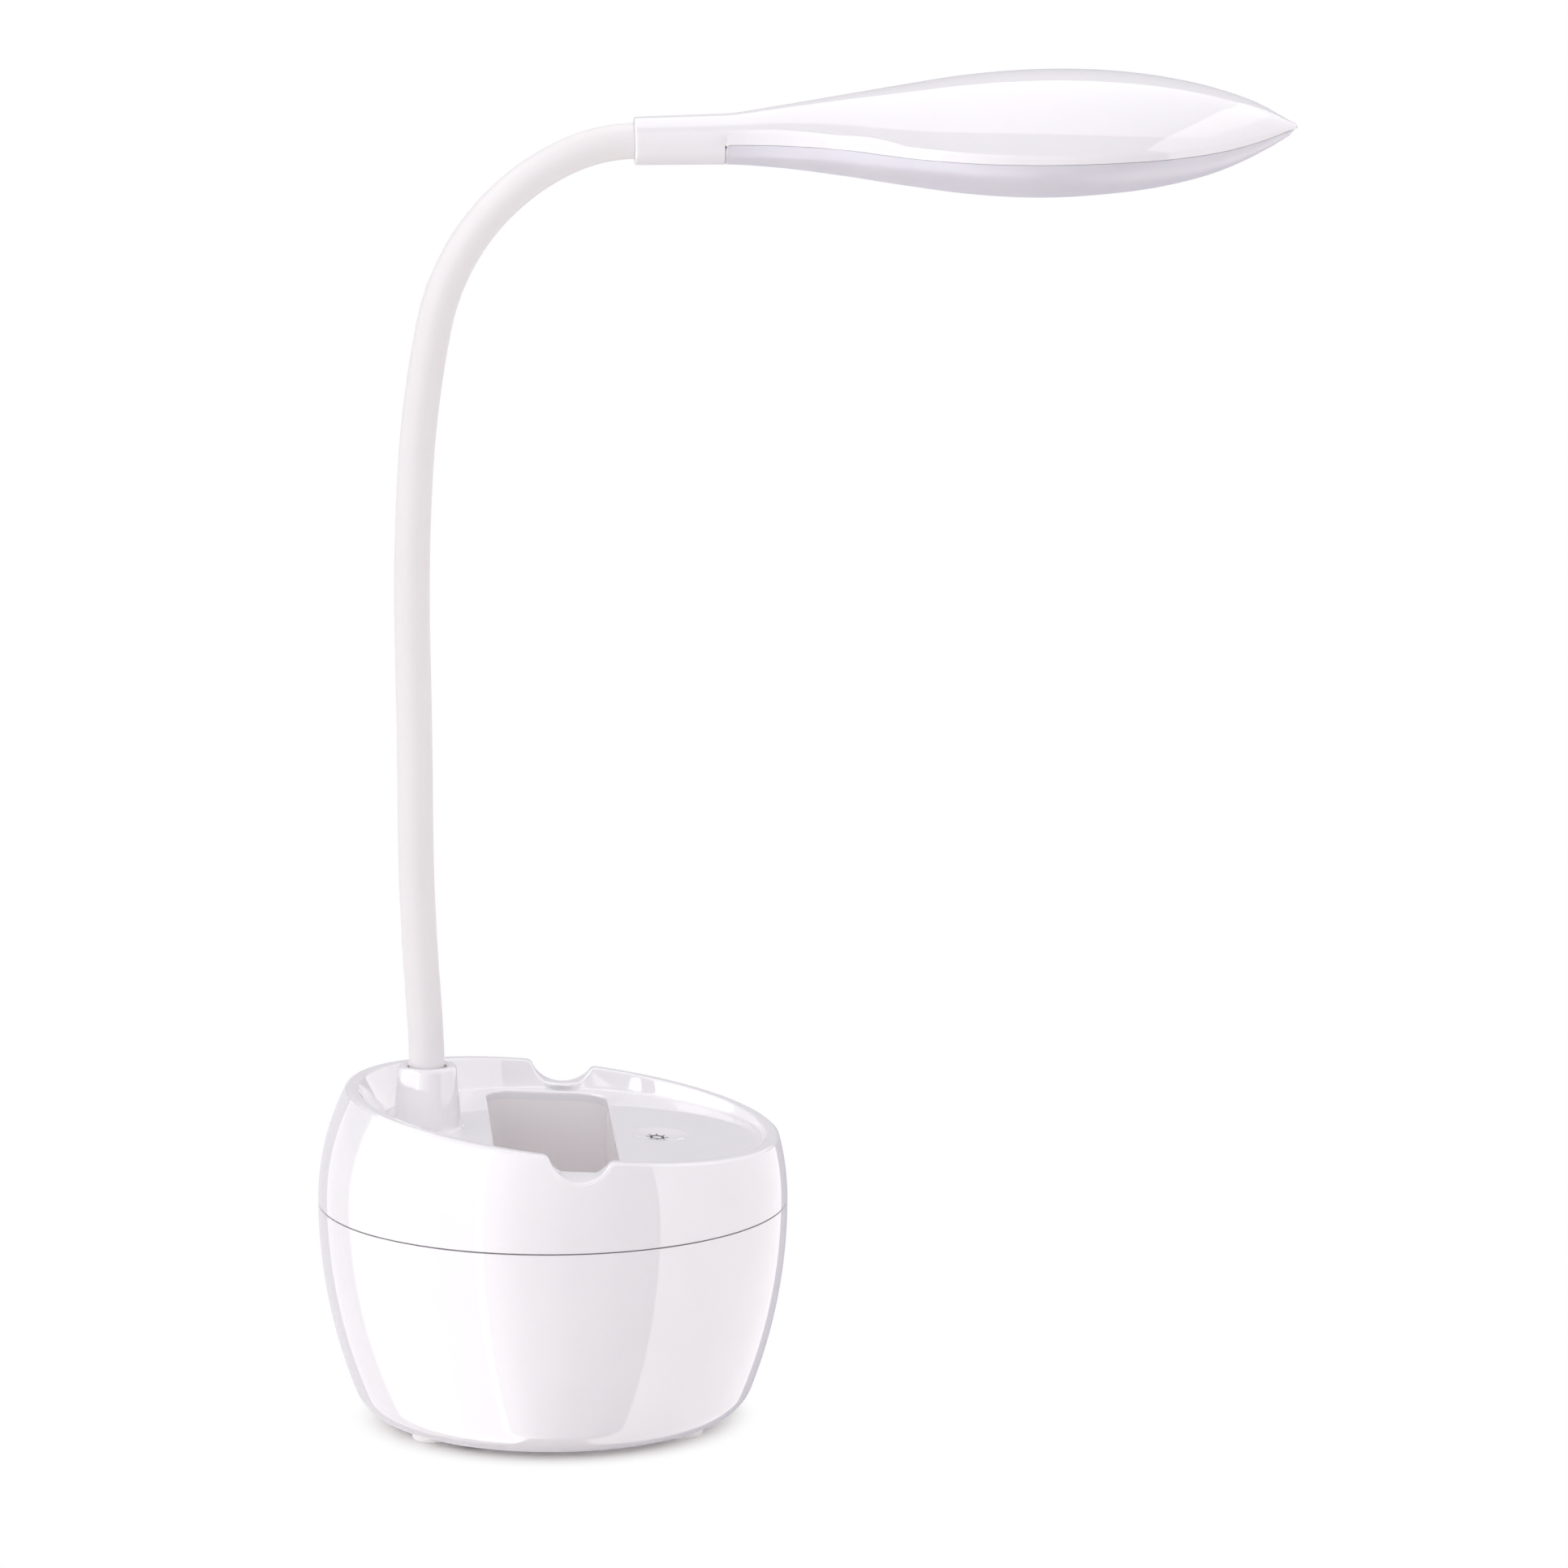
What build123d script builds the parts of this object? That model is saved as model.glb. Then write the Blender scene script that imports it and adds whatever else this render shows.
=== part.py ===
from build123d import *
from math import asin, cos, degrees, pi, radians, sin, sqrt, tan
import os

os.makedirs("parts", exist_ok=True)

# Portable table lamp: a bowl-shaped base with a pen well, a gooseneck and a leaf-shaped LED head.
# Millimetres. Ground at z = 0, the bowl's axis is Z, the head points along +X, the socket is at +Y.

# Bowl: two moulded shells that meet at a level seam
bowl_radius = 60.0
seam_height = 57.2
upper_bow_radius = 64.0
underside_inset = 19.17
bowl_corner_radius = 10.8
shell_wall = 2.6
seam_groove = 0.25
spigot_depth = 3.0
spigot_wall = 1.4
fit_gap = 0.2
overrun = 5.0

# Rim and basin: both planes drop towards +X
rim_rise = 23.9
rim_drop_angle = 6.85
rim_round = 1.2
mouth_inset = 7.7
mouth_shift = 2.5
deck_rise = 17.8
deck_drop_angle = 2.98
deck_wall = 2.4
basin_inset = 11.0
basin_shift = 4.8
notch_radius = 8.2
notch_sill = 0.3
notch_shoulder = 2.2
dish_radius = 7.05
dish_depth = 0.9
dish_offset = 11.9

# Pen well: a deep cup welded under the deck
well_width = 31.2
well_end_gap = 5.0
well_corner = 7.0
well_wall = 1.8
well_flange = 1.6
well_flange_thickness = 1.5
well_lip_round = 0.7
wire_channel = 4.0

# Tower that holds the neck
tower_offset = 16.3
tower_rise = 35.5
tower_top_radius = 7.45
tower_base_radius = 9.0
tower_edge_round = 1.3
tower_pad = 1.2
tower_mouth_chamfer = 0.5

# Inside the base
foot_radius = 5.0
foot_drop = 1.5
foot_edge_round = 1.2
foot_recess = 0.8
foot_ring_inset = 20.94
foot_angle = 35.0
ballast_inset = 24.0
ballast_thickness = 4.0
cell_well_gap = 1.1
cell_boss_gap = 0.7
cell_end_gap = 2.46
cell_button_radius = 3.0
cell_button_height = 0.7
cradle_wall = 1.3
cradle_end_inset = 8.5
cradle_height = 9.0
boss_radius = 4.2
boss_drop = 12.2
post_radius = 3.0
boss_well_gap = 0.6
left_boss_inset = 22.68
right_boss_inset = 15.6
case_screw_radius = 1.4
case_screw_length = 12.0
case_head_radius = 2.6
case_head_height = 1.9
boss_web = 2.5
board_side_gap = 1.1
board_boss_gap = 2.3
board_length = 44.0
board_thickness = 1.4
board_rise = 3.8
board_post_radius = 2.3
board_post_inset = 3.0
board_screw_radius = 0.9
board_screw_length = 6.0
board_head_radius = 1.8
board_head_height = 1.2
touch_pad_radius = 4.0
chip_side = 6.0
chip_height = 1.6
coil_side = 9.0
coil_height = 4.0

# Charging socket at the rear, hidden in the photograph
port_level = 27.0
port_width = 7.8
port_height = 2.9
port_depth = 5.4
port_corner = 0.9
port_wall = 0.35
port_recess_margin = 2.0
port_recess_depth = 0.9
tongue_width = 4.0
tongue_thickness = 0.8
port_board_width = 14.0
port_board_gap = 0.94
port_board_thickness = 1.0
port_shelf_thickness = 2.0

# Neck: a silicone sleeve over a spring-steel core, drawn as arcs that follow one another
neck_radius = 4.5
neck_length = 272.2
neck_grip = 8.0
neck_link_shares = (0.103, 0.162, 0.162, 0.162, 0.140, 0.103, 0.103, 0.065)
neck_turns = (-4.0, 4.0, -1.0, 4.5, 8.0, 26.5, 27.0, 24.3)
knuckle_gap = 0.35
core_radius = 3.0
core_bore_radius = 1.6
lead_radius = 1.1
slip = 0.1
neck_gap = 0.6

# Ferrules at both ends of the core
ferrule_head_radius = 4.9
ferrule_head_length = 7.0
ferrule_stem_radius = 3.9
ferrule_stem_length = 16.0
ferrule_socket = 4.0
nut_radius = 7.0
nut_thickness = 4.0
end_ferrule_length = 8.0

# Head: a collar, then a leaf that runs to a sharp tip
collar_radius = 6.05
collar_end_radius = 6.35
collar_length = 22.5
collar_edge_round = 0.5
leaf_length = 144.6
leaf_half_width = 31.0
dome_height = 15.75
rim_dip = 4.1
side_band = 2.9
side_lean = 0.35
lens_depth = 15.7
head_wall = 1.8
lens_wall = 1.5
lens_inset = 0.4
lens_gap = 0.15
station_shares = (0.0, 0.092, 0.196, 0.306, 0.417, 0.541, 0.652, 0.763, 0.860, 0.936, 0.984, 1.0)
width_shares = (0.203, 0.284, 0.452, 0.684, 0.884, 1.0, 0.994, 0.848, 0.613, 0.342, 0.110, 0.03)
dome_shares = (0.403, 0.508, 0.648, 0.794, 0.930, 1.0, 0.975, 0.851, 0.641, 0.375, 0.121, 0.04)
dip_shares = (0.171, 0.195, 0.340, 0.700, 0.927, 1.0, 0.988, 0.950, 0.760, 0.390, 0.085, 0.024)
band_shares = (1.0, 0.90, 0.76, 0.70, 0.59, 0.48, 0.50, 0.60, 0.60, 0.38, 0.12, 0.05)
lens_shares = (0.404, 0.471, 0.605, 0.771, 0.920, 1.0, 0.968, 0.854, 0.643, 0.357, 0.127, 0.03)
led_board_width_share = 0.60
led_board_first_share = 0.19
led_board_last_share = 0.86
led_board_thickness = 1.2
led_board_level = 1.0
led_length = 3.5
led_width = 2.8
led_height = 0.8
led_rows = 2
led_count = 8
led_row_spacing = 12.0
led_first_share = 0.36
led_last_share = 0.78
head_post_radius = 2.4
head_post_shares = (0.30, 0.82)
head_screw_radius = 1.0
head_screw_length = 5.0
head_head_radius = 1.9
head_head_height = 1.2
head_lead_run = 8.0

# Leads inside the base
cable_radius = 0.8
lead_bend = 3.0
cable_wall_gap = 1.6
cable_rise_inset = 0.9
cable_turn_x = 10.0
board_cable_gap = 5.0
pad_inset = 4.0
pad_end_inset = 3.4
minus_pad_inset = 1.4
socket_lead_x = 4.0
socket_pad_inset = 1.9
socket_wall_gap = 2.0


def tilted_plane(height, drop):
    """A plane through the bowl's axis that falls towards +X."""
    a = radians(drop)
    return Plane(origin=(0, 0, height), x_dir=(cos(a), 0, -sin(a)), z_dir=(sin(a), 0, cos(a)))


def upright_plane(x, y=0):
    """The XZ plane moved so that its origin stands over a point of the floor."""
    return Plane(origin=(x, y, 0), x_dir=(1, 0, 0), z_dir=(0, -1, 0))


def upper_radius(z):
    """Outside radius of the bowl above the seam."""
    return bowl_radius - upper_bow_radius + sqrt(upper_bow_radius**2 - (z - seam_height) ** 2)


def lower_radius(z):
    """Outside radius of the bowl below the seam, above its rounded corner."""
    return bowl_radius - lower_bow_radius + sqrt(lower_bow_radius**2 - (z - seam_height) ** 2)


def deck_height(x):
    """Height of the deck's top face at a distance along X."""
    return seam_height + deck_rise - x * tan(radians(deck_drop_angle))


def on_rim(point):
    """True for a point of the rim's or a notch's edges, false on the deck, the seam and the loft's join."""
    below_rim = -rim_plane.to_local_coords(point).Z
    above_deck = deck_plane.to_local_coords(point).Z
    return below_rim < notch_radius and above_deck > notch_sill / 2 and (point.X < 0 or abs(point.Y) > fit_gap)


def on_deck(edge):
    """True for an edge that lies in the deck's top face."""
    return all(abs(deck_plane.to_local_coords(edge.position_at(t)).Z) < slip / 2 for t in (0, 0.5, 1))


def save(piece, name):
    """Label a finished piece and write it."""
    piece.part.label = name
    export_step(piece.part, "parts/" + name + ".step")


floor_bottom = foot_drop
floor_top = floor_bottom + shell_wall
corner_level = floor_bottom + bowl_corner_radius
lower_bow_radius = (
    (seam_height - corner_level) ** 2 + underside_inset**2 - bowl_corner_radius**2
) / (2 * (underside_inset - bowl_corner_radius))
mouth_radius = bowl_radius - mouth_inset
basin_radius = bowl_radius - basin_inset
well_length = 2 * (basin_radius - well_end_gap)
well_side = well_width / 2 + well_wall
tower_x = -(well_width / 2 + tower_offset)
dish_x = well_width / 2 + dish_offset
rim_plane = tilted_plane(seam_height + rim_rise, rim_drop_angle)
deck_plane = tilted_plane(seam_height + deck_rise, deck_drop_angle)
under_deck_plane = deck_plane.offset(-deck_wall)
ballast_top = floor_top + ballast_thickness
well_bottom = ballast_top + wire_channel
well_floor = well_bottom + well_wall
tower_top = seam_height + tower_rise
tower_foot = deck_height(tower_x) - deck_wall - tower_pad
neck_start = tower_top - neck_grip
neck_bore = neck_radius + neck_gap
blank_top = seam_height + rim_rise + bowl_radius * tan(radians(rim_drop_angle)) + overrun
blank_middle = (seam_height + blank_top) / 2
left_boss_x = -(well_side + boss_well_gap + boss_radius)
left_boss_y = sqrt((bowl_radius - left_boss_inset) ** 2 - left_boss_x**2)
right_boss_x = bowl_radius - right_boss_inset
boss_places = [(left_boss_x, left_boss_y), (left_boss_x, -left_boss_y), (right_boss_x, 0)]
foot_x = (bowl_radius - foot_ring_inset) * cos(radians(foot_angle))
foot_y = (bowl_radius - foot_ring_inset) * sin(radians(foot_angle))
foot_places = [(foot_x, foot_y), (-foot_x, foot_y), (-foot_x, -foot_y), (foot_x, -foot_y)]
boss_height = seam_height - boss_drop
web_top = boss_height - fit_gap
screw_seat = web_top - boss_web
board_level = seam_height + board_rise
board_top = board_level + board_thickness
board_left = well_side + well_flange + board_side_gap
board_width = right_boss_x - post_radius - board_boss_gap - board_left
board_x = board_left + board_width / 2
board_post_places = [
    (board_x + board_width / 2 - board_post_inset, board_length / 2 - board_post_inset),
    (board_x - board_width / 2 + board_post_inset, board_post_inset - board_length / 2),
]

# Upper shell: outer bowl, tilted rim, basin, deck, notches, tower, dish and posts in one moulding
with BuildPart() as upper_hollow:
    with BuildSketch(Plane.XZ):
        with BuildLine():
            inner_top = upper_radius(blank_top) - shell_wall
            inner_seam = bowl_radius - shell_wall
            Line((0, seam_height - overrun), (inner_seam, seam_height - overrun))
            Line((inner_seam, seam_height - overrun), (inner_seam, seam_height))
            ThreePointArc(
                (inner_seam, seam_height),
                (upper_radius(blank_middle) - shell_wall, blank_middle),
                (inner_top, blank_top),
            )
            Polyline((inner_top, blank_top), (0, blank_top), (0, seam_height - overrun))
        make_face()
    revolve(axis=Axis.Z)
    split(bisect_by=under_deck_plane, keep=Keep.BOTTOM)

with BuildPart() as upper_shell:
    with BuildSketch(Plane.XZ):
        with BuildLine():
            Line((0, seam_height), (bowl_radius, seam_height))
            ThreePointArc(
                (bowl_radius, seam_height),
                (upper_radius(blank_middle), blank_middle),
                (upper_radius(blank_top), blank_top),
            )
            Polyline((upper_radius(blank_top), blank_top), (0, blank_top), (0, seam_height))
        make_face()
    revolve(axis=Axis.Z)
    split(bisect_by=rim_plane, keep=Keep.BOTTOM)
    with BuildSketch(rim_plane):
        with Locations((mouth_shift, 0)):
            Circle(mouth_radius)
    with BuildSketch(deck_plane):
        with Locations((basin_shift, 0)):
            Circle(basin_radius)
    loft(ruled=True, mode=Mode.SUBTRACT)
    # two notches, front and rear, with rounded shoulders where they meet the rim
    with BuildSketch(Plane.XZ):
        notch_level = deck_height(basin_shift) + notch_sill + notch_radius
        rim_level = seam_height + rim_rise - basin_shift * tan(radians(rim_drop_angle))
        half_open = sqrt(notch_radius**2 - (notch_level - rim_level) ** 2)
        with Locations((basin_shift, notch_level)):
            Circle(notch_radius)
        with Locations((basin_shift, rim_level)):
            Rectangle(
                4 * notch_radius,
                2 * notch_radius,
                rotation=-rim_drop_angle,
                align=(Align.CENTER, Align.MIN),
            )
        shoulders = [
            v
            for v in vertices()
            if abs(v.X - basin_shift) < half_open + notch_shoulder and v.Y < rim_level + notch_shoulder
        ]
        fillet(shoulders, notch_shoulder)
    extrude(amount=bowl_radius, both=True, mode=Mode.SUBTRACT)
    rim_edges = [
        e
        for e in edges().filter_by(GeomType.LINE, reverse=True)
        if on_rim(e.position_at(0.5))
    ]
    fillet(rim_edges, rim_round)
    add(upper_hollow.part, mode=Mode.SUBTRACT)
    chamfer(edges().filter_by(GeomType.CIRCLE).group_by(Axis.Z)[0].sort_by(SortBy.LENGTH)[-1], seam_groove)
    # spigot that drops inside the lower shell
    with BuildSketch(Plane.XZ):
        with BuildLine():
            spigot_outer = bowl_radius - shell_wall - fit_gap
            spigot_inner = spigot_outer - spigot_wall
            wall_inside = bowl_radius - shell_wall / 2
            Polyline(
                (spigot_inner, seam_height - spigot_depth),
                (spigot_outer, seam_height - spigot_depth),
                (spigot_outer, seam_height),
                (wall_inside, seam_height),
                (wall_inside, seam_height + spigot_wall),
                (spigot_inner, seam_height + spigot_depth),
                close=True,
            )
        make_face()
    revolve(axis=Axis.Z)
    # tower round the neck, with a flat pad for the nut under the deck
    with BuildSketch(upright_plane(tower_x)):
        with BuildLine():
            tower_side = Line((tower_base_radius, tower_foot), (tower_top_radius, tower_top))
            tower_lid = Polyline((tower_top_radius, tower_top), (0, tower_top), (0, tower_foot))
            Line((0, tower_foot), (tower_base_radius, tower_foot))
        make_face()
        fillet(vertices().sort_by(Axis.Y)[-2:].sort_by(Axis.X)[-1], tower_edge_round)
    revolve(axis=Axis((tower_x, 0, 0), (0, 0, 1)))
    with BuildSketch(upright_plane(tower_x)):
        with BuildLine():
            shelf = neck_start - ferrule_head_length
            Polyline(
                (0, tower_foot - overrun),
                (ferrule_stem_radius + slip, tower_foot - overrun),
                (ferrule_stem_radius + slip, shelf),
                (neck_bore, shelf),
                (neck_bore, tower_top - tower_mouth_chamfer),
                (neck_bore + tower_mouth_chamfer, tower_top),
                (neck_bore + tower_mouth_chamfer, tower_top + overrun),
                (0, tower_top + overrun),
                close=True,
            )
        make_face()
    revolve(axis=Axis((tower_x, 0, 0), (0, 0, 1)), mode=Mode.SUBTRACT)
    # mouth of the pen well through the deck
    with BuildSketch(Plane.XY.offset(seam_height)):
        RectangleRounded(well_width, well_length, well_corner)
    extrude(amount=tower_rise, mode=Mode.SUBTRACT)
    lip = [e for e in edges() if on_deck(e) and abs(e.position_at(0.5).X) <= well_width / 2]
    fillet(lip, well_lip_round)
    # touch dish
    dish_ball = (dish_radius**2 + dish_depth**2) / (2 * dish_depth)
    with Locations(deck_plane.from_local_coords((dish_x, 0, dish_ball - dish_depth))):
        Sphere(dish_ball, mode=Mode.SUBTRACT)
    # posts for the case screws and for the control board, each grown up into the deck
    for x, y in boss_places:
        with BuildSketch(Plane.XY.offset(boss_height)):
            with Locations((x, y)):
                Circle(post_radius)
        extrude(amount=deck_height(x) - deck_wall / 2 - boss_height)
    for x, y in board_post_places:
        with BuildSketch(Plane.XY.offset(board_top)):
            with Locations((x, y)):
                Circle(board_post_radius)
        extrude(amount=deck_height(x) - deck_wall / 2 - board_top)
    with BuildSketch(Plane.XY.offset(boss_height)):
        with Locations(*boss_places):
            Circle(case_screw_radius)
    extrude(amount=case_screw_length, mode=Mode.SUBTRACT)
    with BuildSketch(Plane.XY.offset(board_top)):
        with Locations(*board_post_places):
            Circle(board_screw_radius)
    extrude(amount=board_screw_length, mode=Mode.SUBTRACT)
save(upper_shell, "upper_shell")

# Lower shell: bowl with rounded corner, screw bosses, foot recesses and the socket's opening
corner_x = bowl_radius - lower_bow_radius + sqrt(
    (lower_bow_radius - bowl_corner_radius) ** 2 - (seam_height - corner_level) ** 2
)
corner_angle = asin((seam_height - corner_level) / (lower_bow_radius - bowl_corner_radius))


def lower_outline(inset):
    """Points of the lower bowl's half outline, moved inwards by an inset."""
    side = lower_bow_radius - inset
    round_off = bowl_corner_radius - inset
    centre_x = bowl_radius - lower_bow_radius
    meet = (centre_x + side * cos(corner_angle), seam_height - side * sin(corner_angle))
    middle = (centre_x + side * cos(corner_angle / 2), seam_height - side * sin(corner_angle / 2))
    turn = (corner_angle + pi / 2) / 2
    bend = (corner_x + round_off * cos(turn), corner_level - round_off * sin(turn))
    bottom = (corner_x, floor_bottom + inset)
    return (bowl_radius - inset, seam_height), middle, meet, bend, bottom


with BuildPart() as lower_shell:
    with BuildSketch(Plane.XZ):
        with BuildLine():
            top, middle, meet, bend, bottom = lower_outline(0)
            ThreePointArc(top, middle, meet)
            ThreePointArc(meet, bend, bottom)
            Polyline(bottom, (0, floor_bottom), (0, floor_top))
            in_top, in_middle, in_meet, in_bend, in_bottom = lower_outline(shell_wall)
            Line((0, floor_top), in_bottom)
            ThreePointArc(in_bottom, in_bend, in_meet)
            ThreePointArc(in_meet, in_middle, in_top)
            Line(in_top, top)
        make_face()
    revolve(axis=Axis.Z)
    chamfer(edges().filter_by(GeomType.CIRCLE).group_by(Axis.Z)[-1].sort_by(SortBy.LENGTH)[-1], seam_groove)
    # screw bosses: tubes with a web that the screw's head pulls against
    with BuildSketch(Plane.XY.offset(floor_top - slip)):
        with Locations(*boss_places):
            Circle(boss_radius)
    extrude(amount=web_top - floor_top + slip)
    with BuildSketch(Plane.XY):
        with Locations(*boss_places):
            Circle(case_head_radius + fit_gap)
    extrude(amount=screw_seat, mode=Mode.SUBTRACT)
    with BuildSketch(Plane.XY.offset(screw_seat)):
        with Locations(*boss_places):
            Circle(case_screw_radius + slip)
    extrude(amount=boss_web + overrun, mode=Mode.SUBTRACT)
    with BuildSketch(Plane.XY):
        with Locations(*foot_places):
            Circle(foot_radius + slip)
    extrude(amount=floor_bottom + foot_recess, mode=Mode.SUBTRACT)
    # shelf, opening and outside recess for the charging socket
    wall_at_port = lower_radius(port_level)
    shelf_top = port_level - port_height / 2 - port_board_thickness
    board_reach = lower_radius(shelf_top) - shell_wall
    board_end = sqrt(board_reach**2 - (port_board_width / 2) ** 2) - fit_gap
    port_board_length = board_end - well_length / 2 - well_wall - port_board_gap
    with BuildSketch(Plane.XY.offset(shelf_top - port_shelf_thickness)):
        with Locations((0, wall_at_port - shell_wall / 2)):
            Rectangle(
                port_board_width,
                port_board_length + shell_wall / 2,
                align=(Align.CENTER, Align.MAX),
            )
    extrude(amount=port_shelf_thickness)
    with BuildSketch(upright_plane(0, wall_at_port + overrun)):
        with Locations((0, port_level)):
            RectangleRounded(port_width + 2 * slip, port_height + 2 * slip, port_corner + slip)
    extrude(amount=overrun + port_depth, mode=Mode.SUBTRACT)
    with BuildSketch(upright_plane(0, wall_at_port + overrun)):
        with Locations((0, port_level)):
            RectangleRounded(
                port_width + 2 * port_recess_margin,
                port_height + 2 * port_recess_margin,
                port_corner + port_recess_margin,
            )
    extrude(amount=overrun + port_recess_depth, mode=Mode.SUBTRACT)
save(lower_shell, "lower_shell")

# Pen well: a deep cup whose flange is welded to the deck's underside
with BuildPart() as pen_well:
    with BuildSketch(Plane.XY.offset(well_bottom)):
        RectangleRounded(well_width + 2 * well_wall, well_length + 2 * well_wall, well_corner + well_wall)
    extrude(amount=2 * seam_height)
    well_rim = well_wall + well_flange
    flange_floor = deck_height(well_width / 2 + well_rim) - deck_wall - well_flange_thickness
    with BuildSketch(Plane.XY.offset(flange_floor)):
        RectangleRounded(well_width + 2 * well_rim, well_length + 2 * well_rim, well_corner + well_rim)
    extrude(amount=seam_height)
    with BuildSketch(Plane.XY.offset(well_floor)):
        RectangleRounded(well_width, well_length, well_corner)
    extrude(amount=2 * seam_height, mode=Mode.SUBTRACT)
    split(bisect_by=under_deck_plane, keep=Keep.BOTTOM)
save(pen_well, "pen_well")

# Ballast: a steel disc on the floor, notched round the screw bosses
with BuildPart() as ballast_plate:
    with BuildSketch(Plane.XY.offset(floor_top)):
        Circle(bowl_radius - ballast_inset)
        with Locations(*boss_places):
            Circle(boss_radius + fit_gap, mode=Mode.SUBTRACT)
    extrude(amount=ballast_thickness)
save(ballast_plate, "ballast_plate")

# Rubber feet, glued into their recesses
for number, (x, y) in enumerate(foot_places, start=1):
    with BuildPart() as foot:
        with BuildSketch():
            with Locations((x, y)):
                Circle(foot_radius)
        extrude(amount=floor_bottom + foot_recess)
        fillet(foot.edges().group_by(Axis.Z)[0], foot_edge_round)
    save(foot, "foot_" + str(number))

# Case screws, driven up through the bosses into the posts
with BuildPart() as case_screws:
    with BuildSketch(Plane.XY.offset(screw_seat - case_head_height)):
        with Locations(*boss_places):
            Circle(case_head_radius)
    extrude(amount=case_head_height)
    with BuildSketch(Plane.XY.offset(screw_seat)):
        with Locations(*boss_places):
            Circle(case_screw_radius - slip)
    extrude(amount=case_screw_length)
save(case_screws, "case_screws")

# Rechargeable cell and the cradle that carries it on the ballast
cell_room = right_boss_x - boss_radius - cell_boss_gap - well_side - cell_well_gap
cell_radius = cell_room / 2 - cradle_wall
cell_x = well_side + cell_well_gap + cell_room / 2
cell_level = ballast_top + cradle_wall + cell_radius
cell_reach = lower_radius(cell_level) - shell_wall
cell_length = 2 * (sqrt(cell_reach**2 - (cell_x + cell_radius) ** 2) - cell_end_gap)
cradle_length = cell_length - 2 * cradle_end_inset
with BuildPart() as battery_cell:
    with BuildSketch(upright_plane(cell_x, cell_length / 2)):
        with Locations((0, cell_level)):
            Circle(cell_radius - slip)
    extrude(amount=cell_length)
    with BuildSketch(upright_plane(cell_x, cell_length / 2 + cell_button_height)):
        with Locations((0, cell_level)):
            Circle(cell_button_radius)
    extrude(amount=cell_button_height)
save(battery_cell, "battery_cell")

with BuildPart() as battery_cradle:
    with BuildSketch(upright_plane(cell_x, cradle_length / 2)):
        with Locations((0, ballast_top)):
            Rectangle(
                2 * (cell_radius + cradle_wall),
                cradle_height,
                align=(Align.CENTER, Align.MIN),
            )
        with Locations((0, cell_level)):
            Circle(cell_radius, mode=Mode.SUBTRACT)
    extrude(amount=cradle_length)
save(battery_cradle, "battery_cradle")

# Control board under the touch dish, its parts, its screws and the conductive pad
with BuildPart() as control_board:
    with BuildSketch(Plane.XY.offset(board_level)):
        with Locations((board_x, 0)):
            Rectangle(board_width, board_length)
        with Locations(*board_post_places):
            Circle(board_screw_radius + slip, mode=Mode.SUBTRACT)
    extrude(amount=board_thickness)
save(control_board, "control_board")

with BuildPart() as board_chips:
    with BuildSketch(Plane.XY.offset(board_level - chip_height)):
        with Locations((board_x, 0), (board_x, board_length / 2 - chip_side)):
            Rectangle(chip_side, chip_side)
    extrude(amount=chip_height)
    with BuildSketch(Plane.XY.offset(board_level - coil_height)):
        with Locations((board_x, -coil_side)):
            Rectangle(coil_side, coil_side)
    extrude(amount=coil_height)
save(board_chips, "board_chips")

with BuildPart() as board_screws:
    with BuildSketch(Plane.XY.offset(board_level - board_head_height)):
        with Locations(*board_post_places):
            Circle(board_head_radius)
    extrude(amount=board_head_height)
    with BuildSketch(Plane.XY.offset(board_level)):
        with Locations(*board_post_places):
            Circle(board_screw_radius - slip / 2)
    extrude(amount=board_screw_length)
save(board_screws, "board_screws")

with BuildPart() as touch_pad:
    with BuildSketch(Plane.XY.offset(board_top)):
        with Locations((dish_x, 0)):
            Circle(touch_pad_radius)
    extrude(amount=deck_height(dish_x + touch_pad_radius) - deck_wall - board_top - slip)
save(touch_pad, "touch_pad")

# Charging socket: a folded metal shell with a tongue, on its own small board
with BuildPart() as charging_socket:
    with BuildSketch(upright_plane(0, wall_at_port - port_recess_depth)):
        with Locations((0, port_level)):
            RectangleRounded(port_width, port_height, port_corner)
            RectangleRounded(
                port_width - 2 * port_wall,
                port_height - 2 * port_wall,
                port_corner - port_wall,
                mode=Mode.SUBTRACT,
            )
    extrude(amount=port_depth)
    with BuildSketch(upright_plane(0, wall_at_port - port_recess_depth - port_depth + port_wall)):
        with Locations((0, port_level)):
            Rectangle(port_width - port_wall, port_height - port_wall)
    extrude(amount=port_wall)
    with BuildSketch(upright_plane(0, wall_at_port - port_recess_depth - tongue_thickness)):
        with Locations((0, port_level)):
            Rectangle(tongue_width, tongue_thickness)
    extrude(amount=port_depth - tongue_thickness)
save(charging_socket, "charging_socket")

with BuildPart() as socket_board:
    with BuildSketch(Plane.XY.offset(shelf_top)):
        with Locations((0, board_end)):
            Rectangle(port_board_width - 2 * port_wall, port_board_length, align=(Align.CENTER, Align.MAX))
    extrude(amount=port_board_thickness - slip / 2)
save(socket_board, "socket_board")

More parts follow.
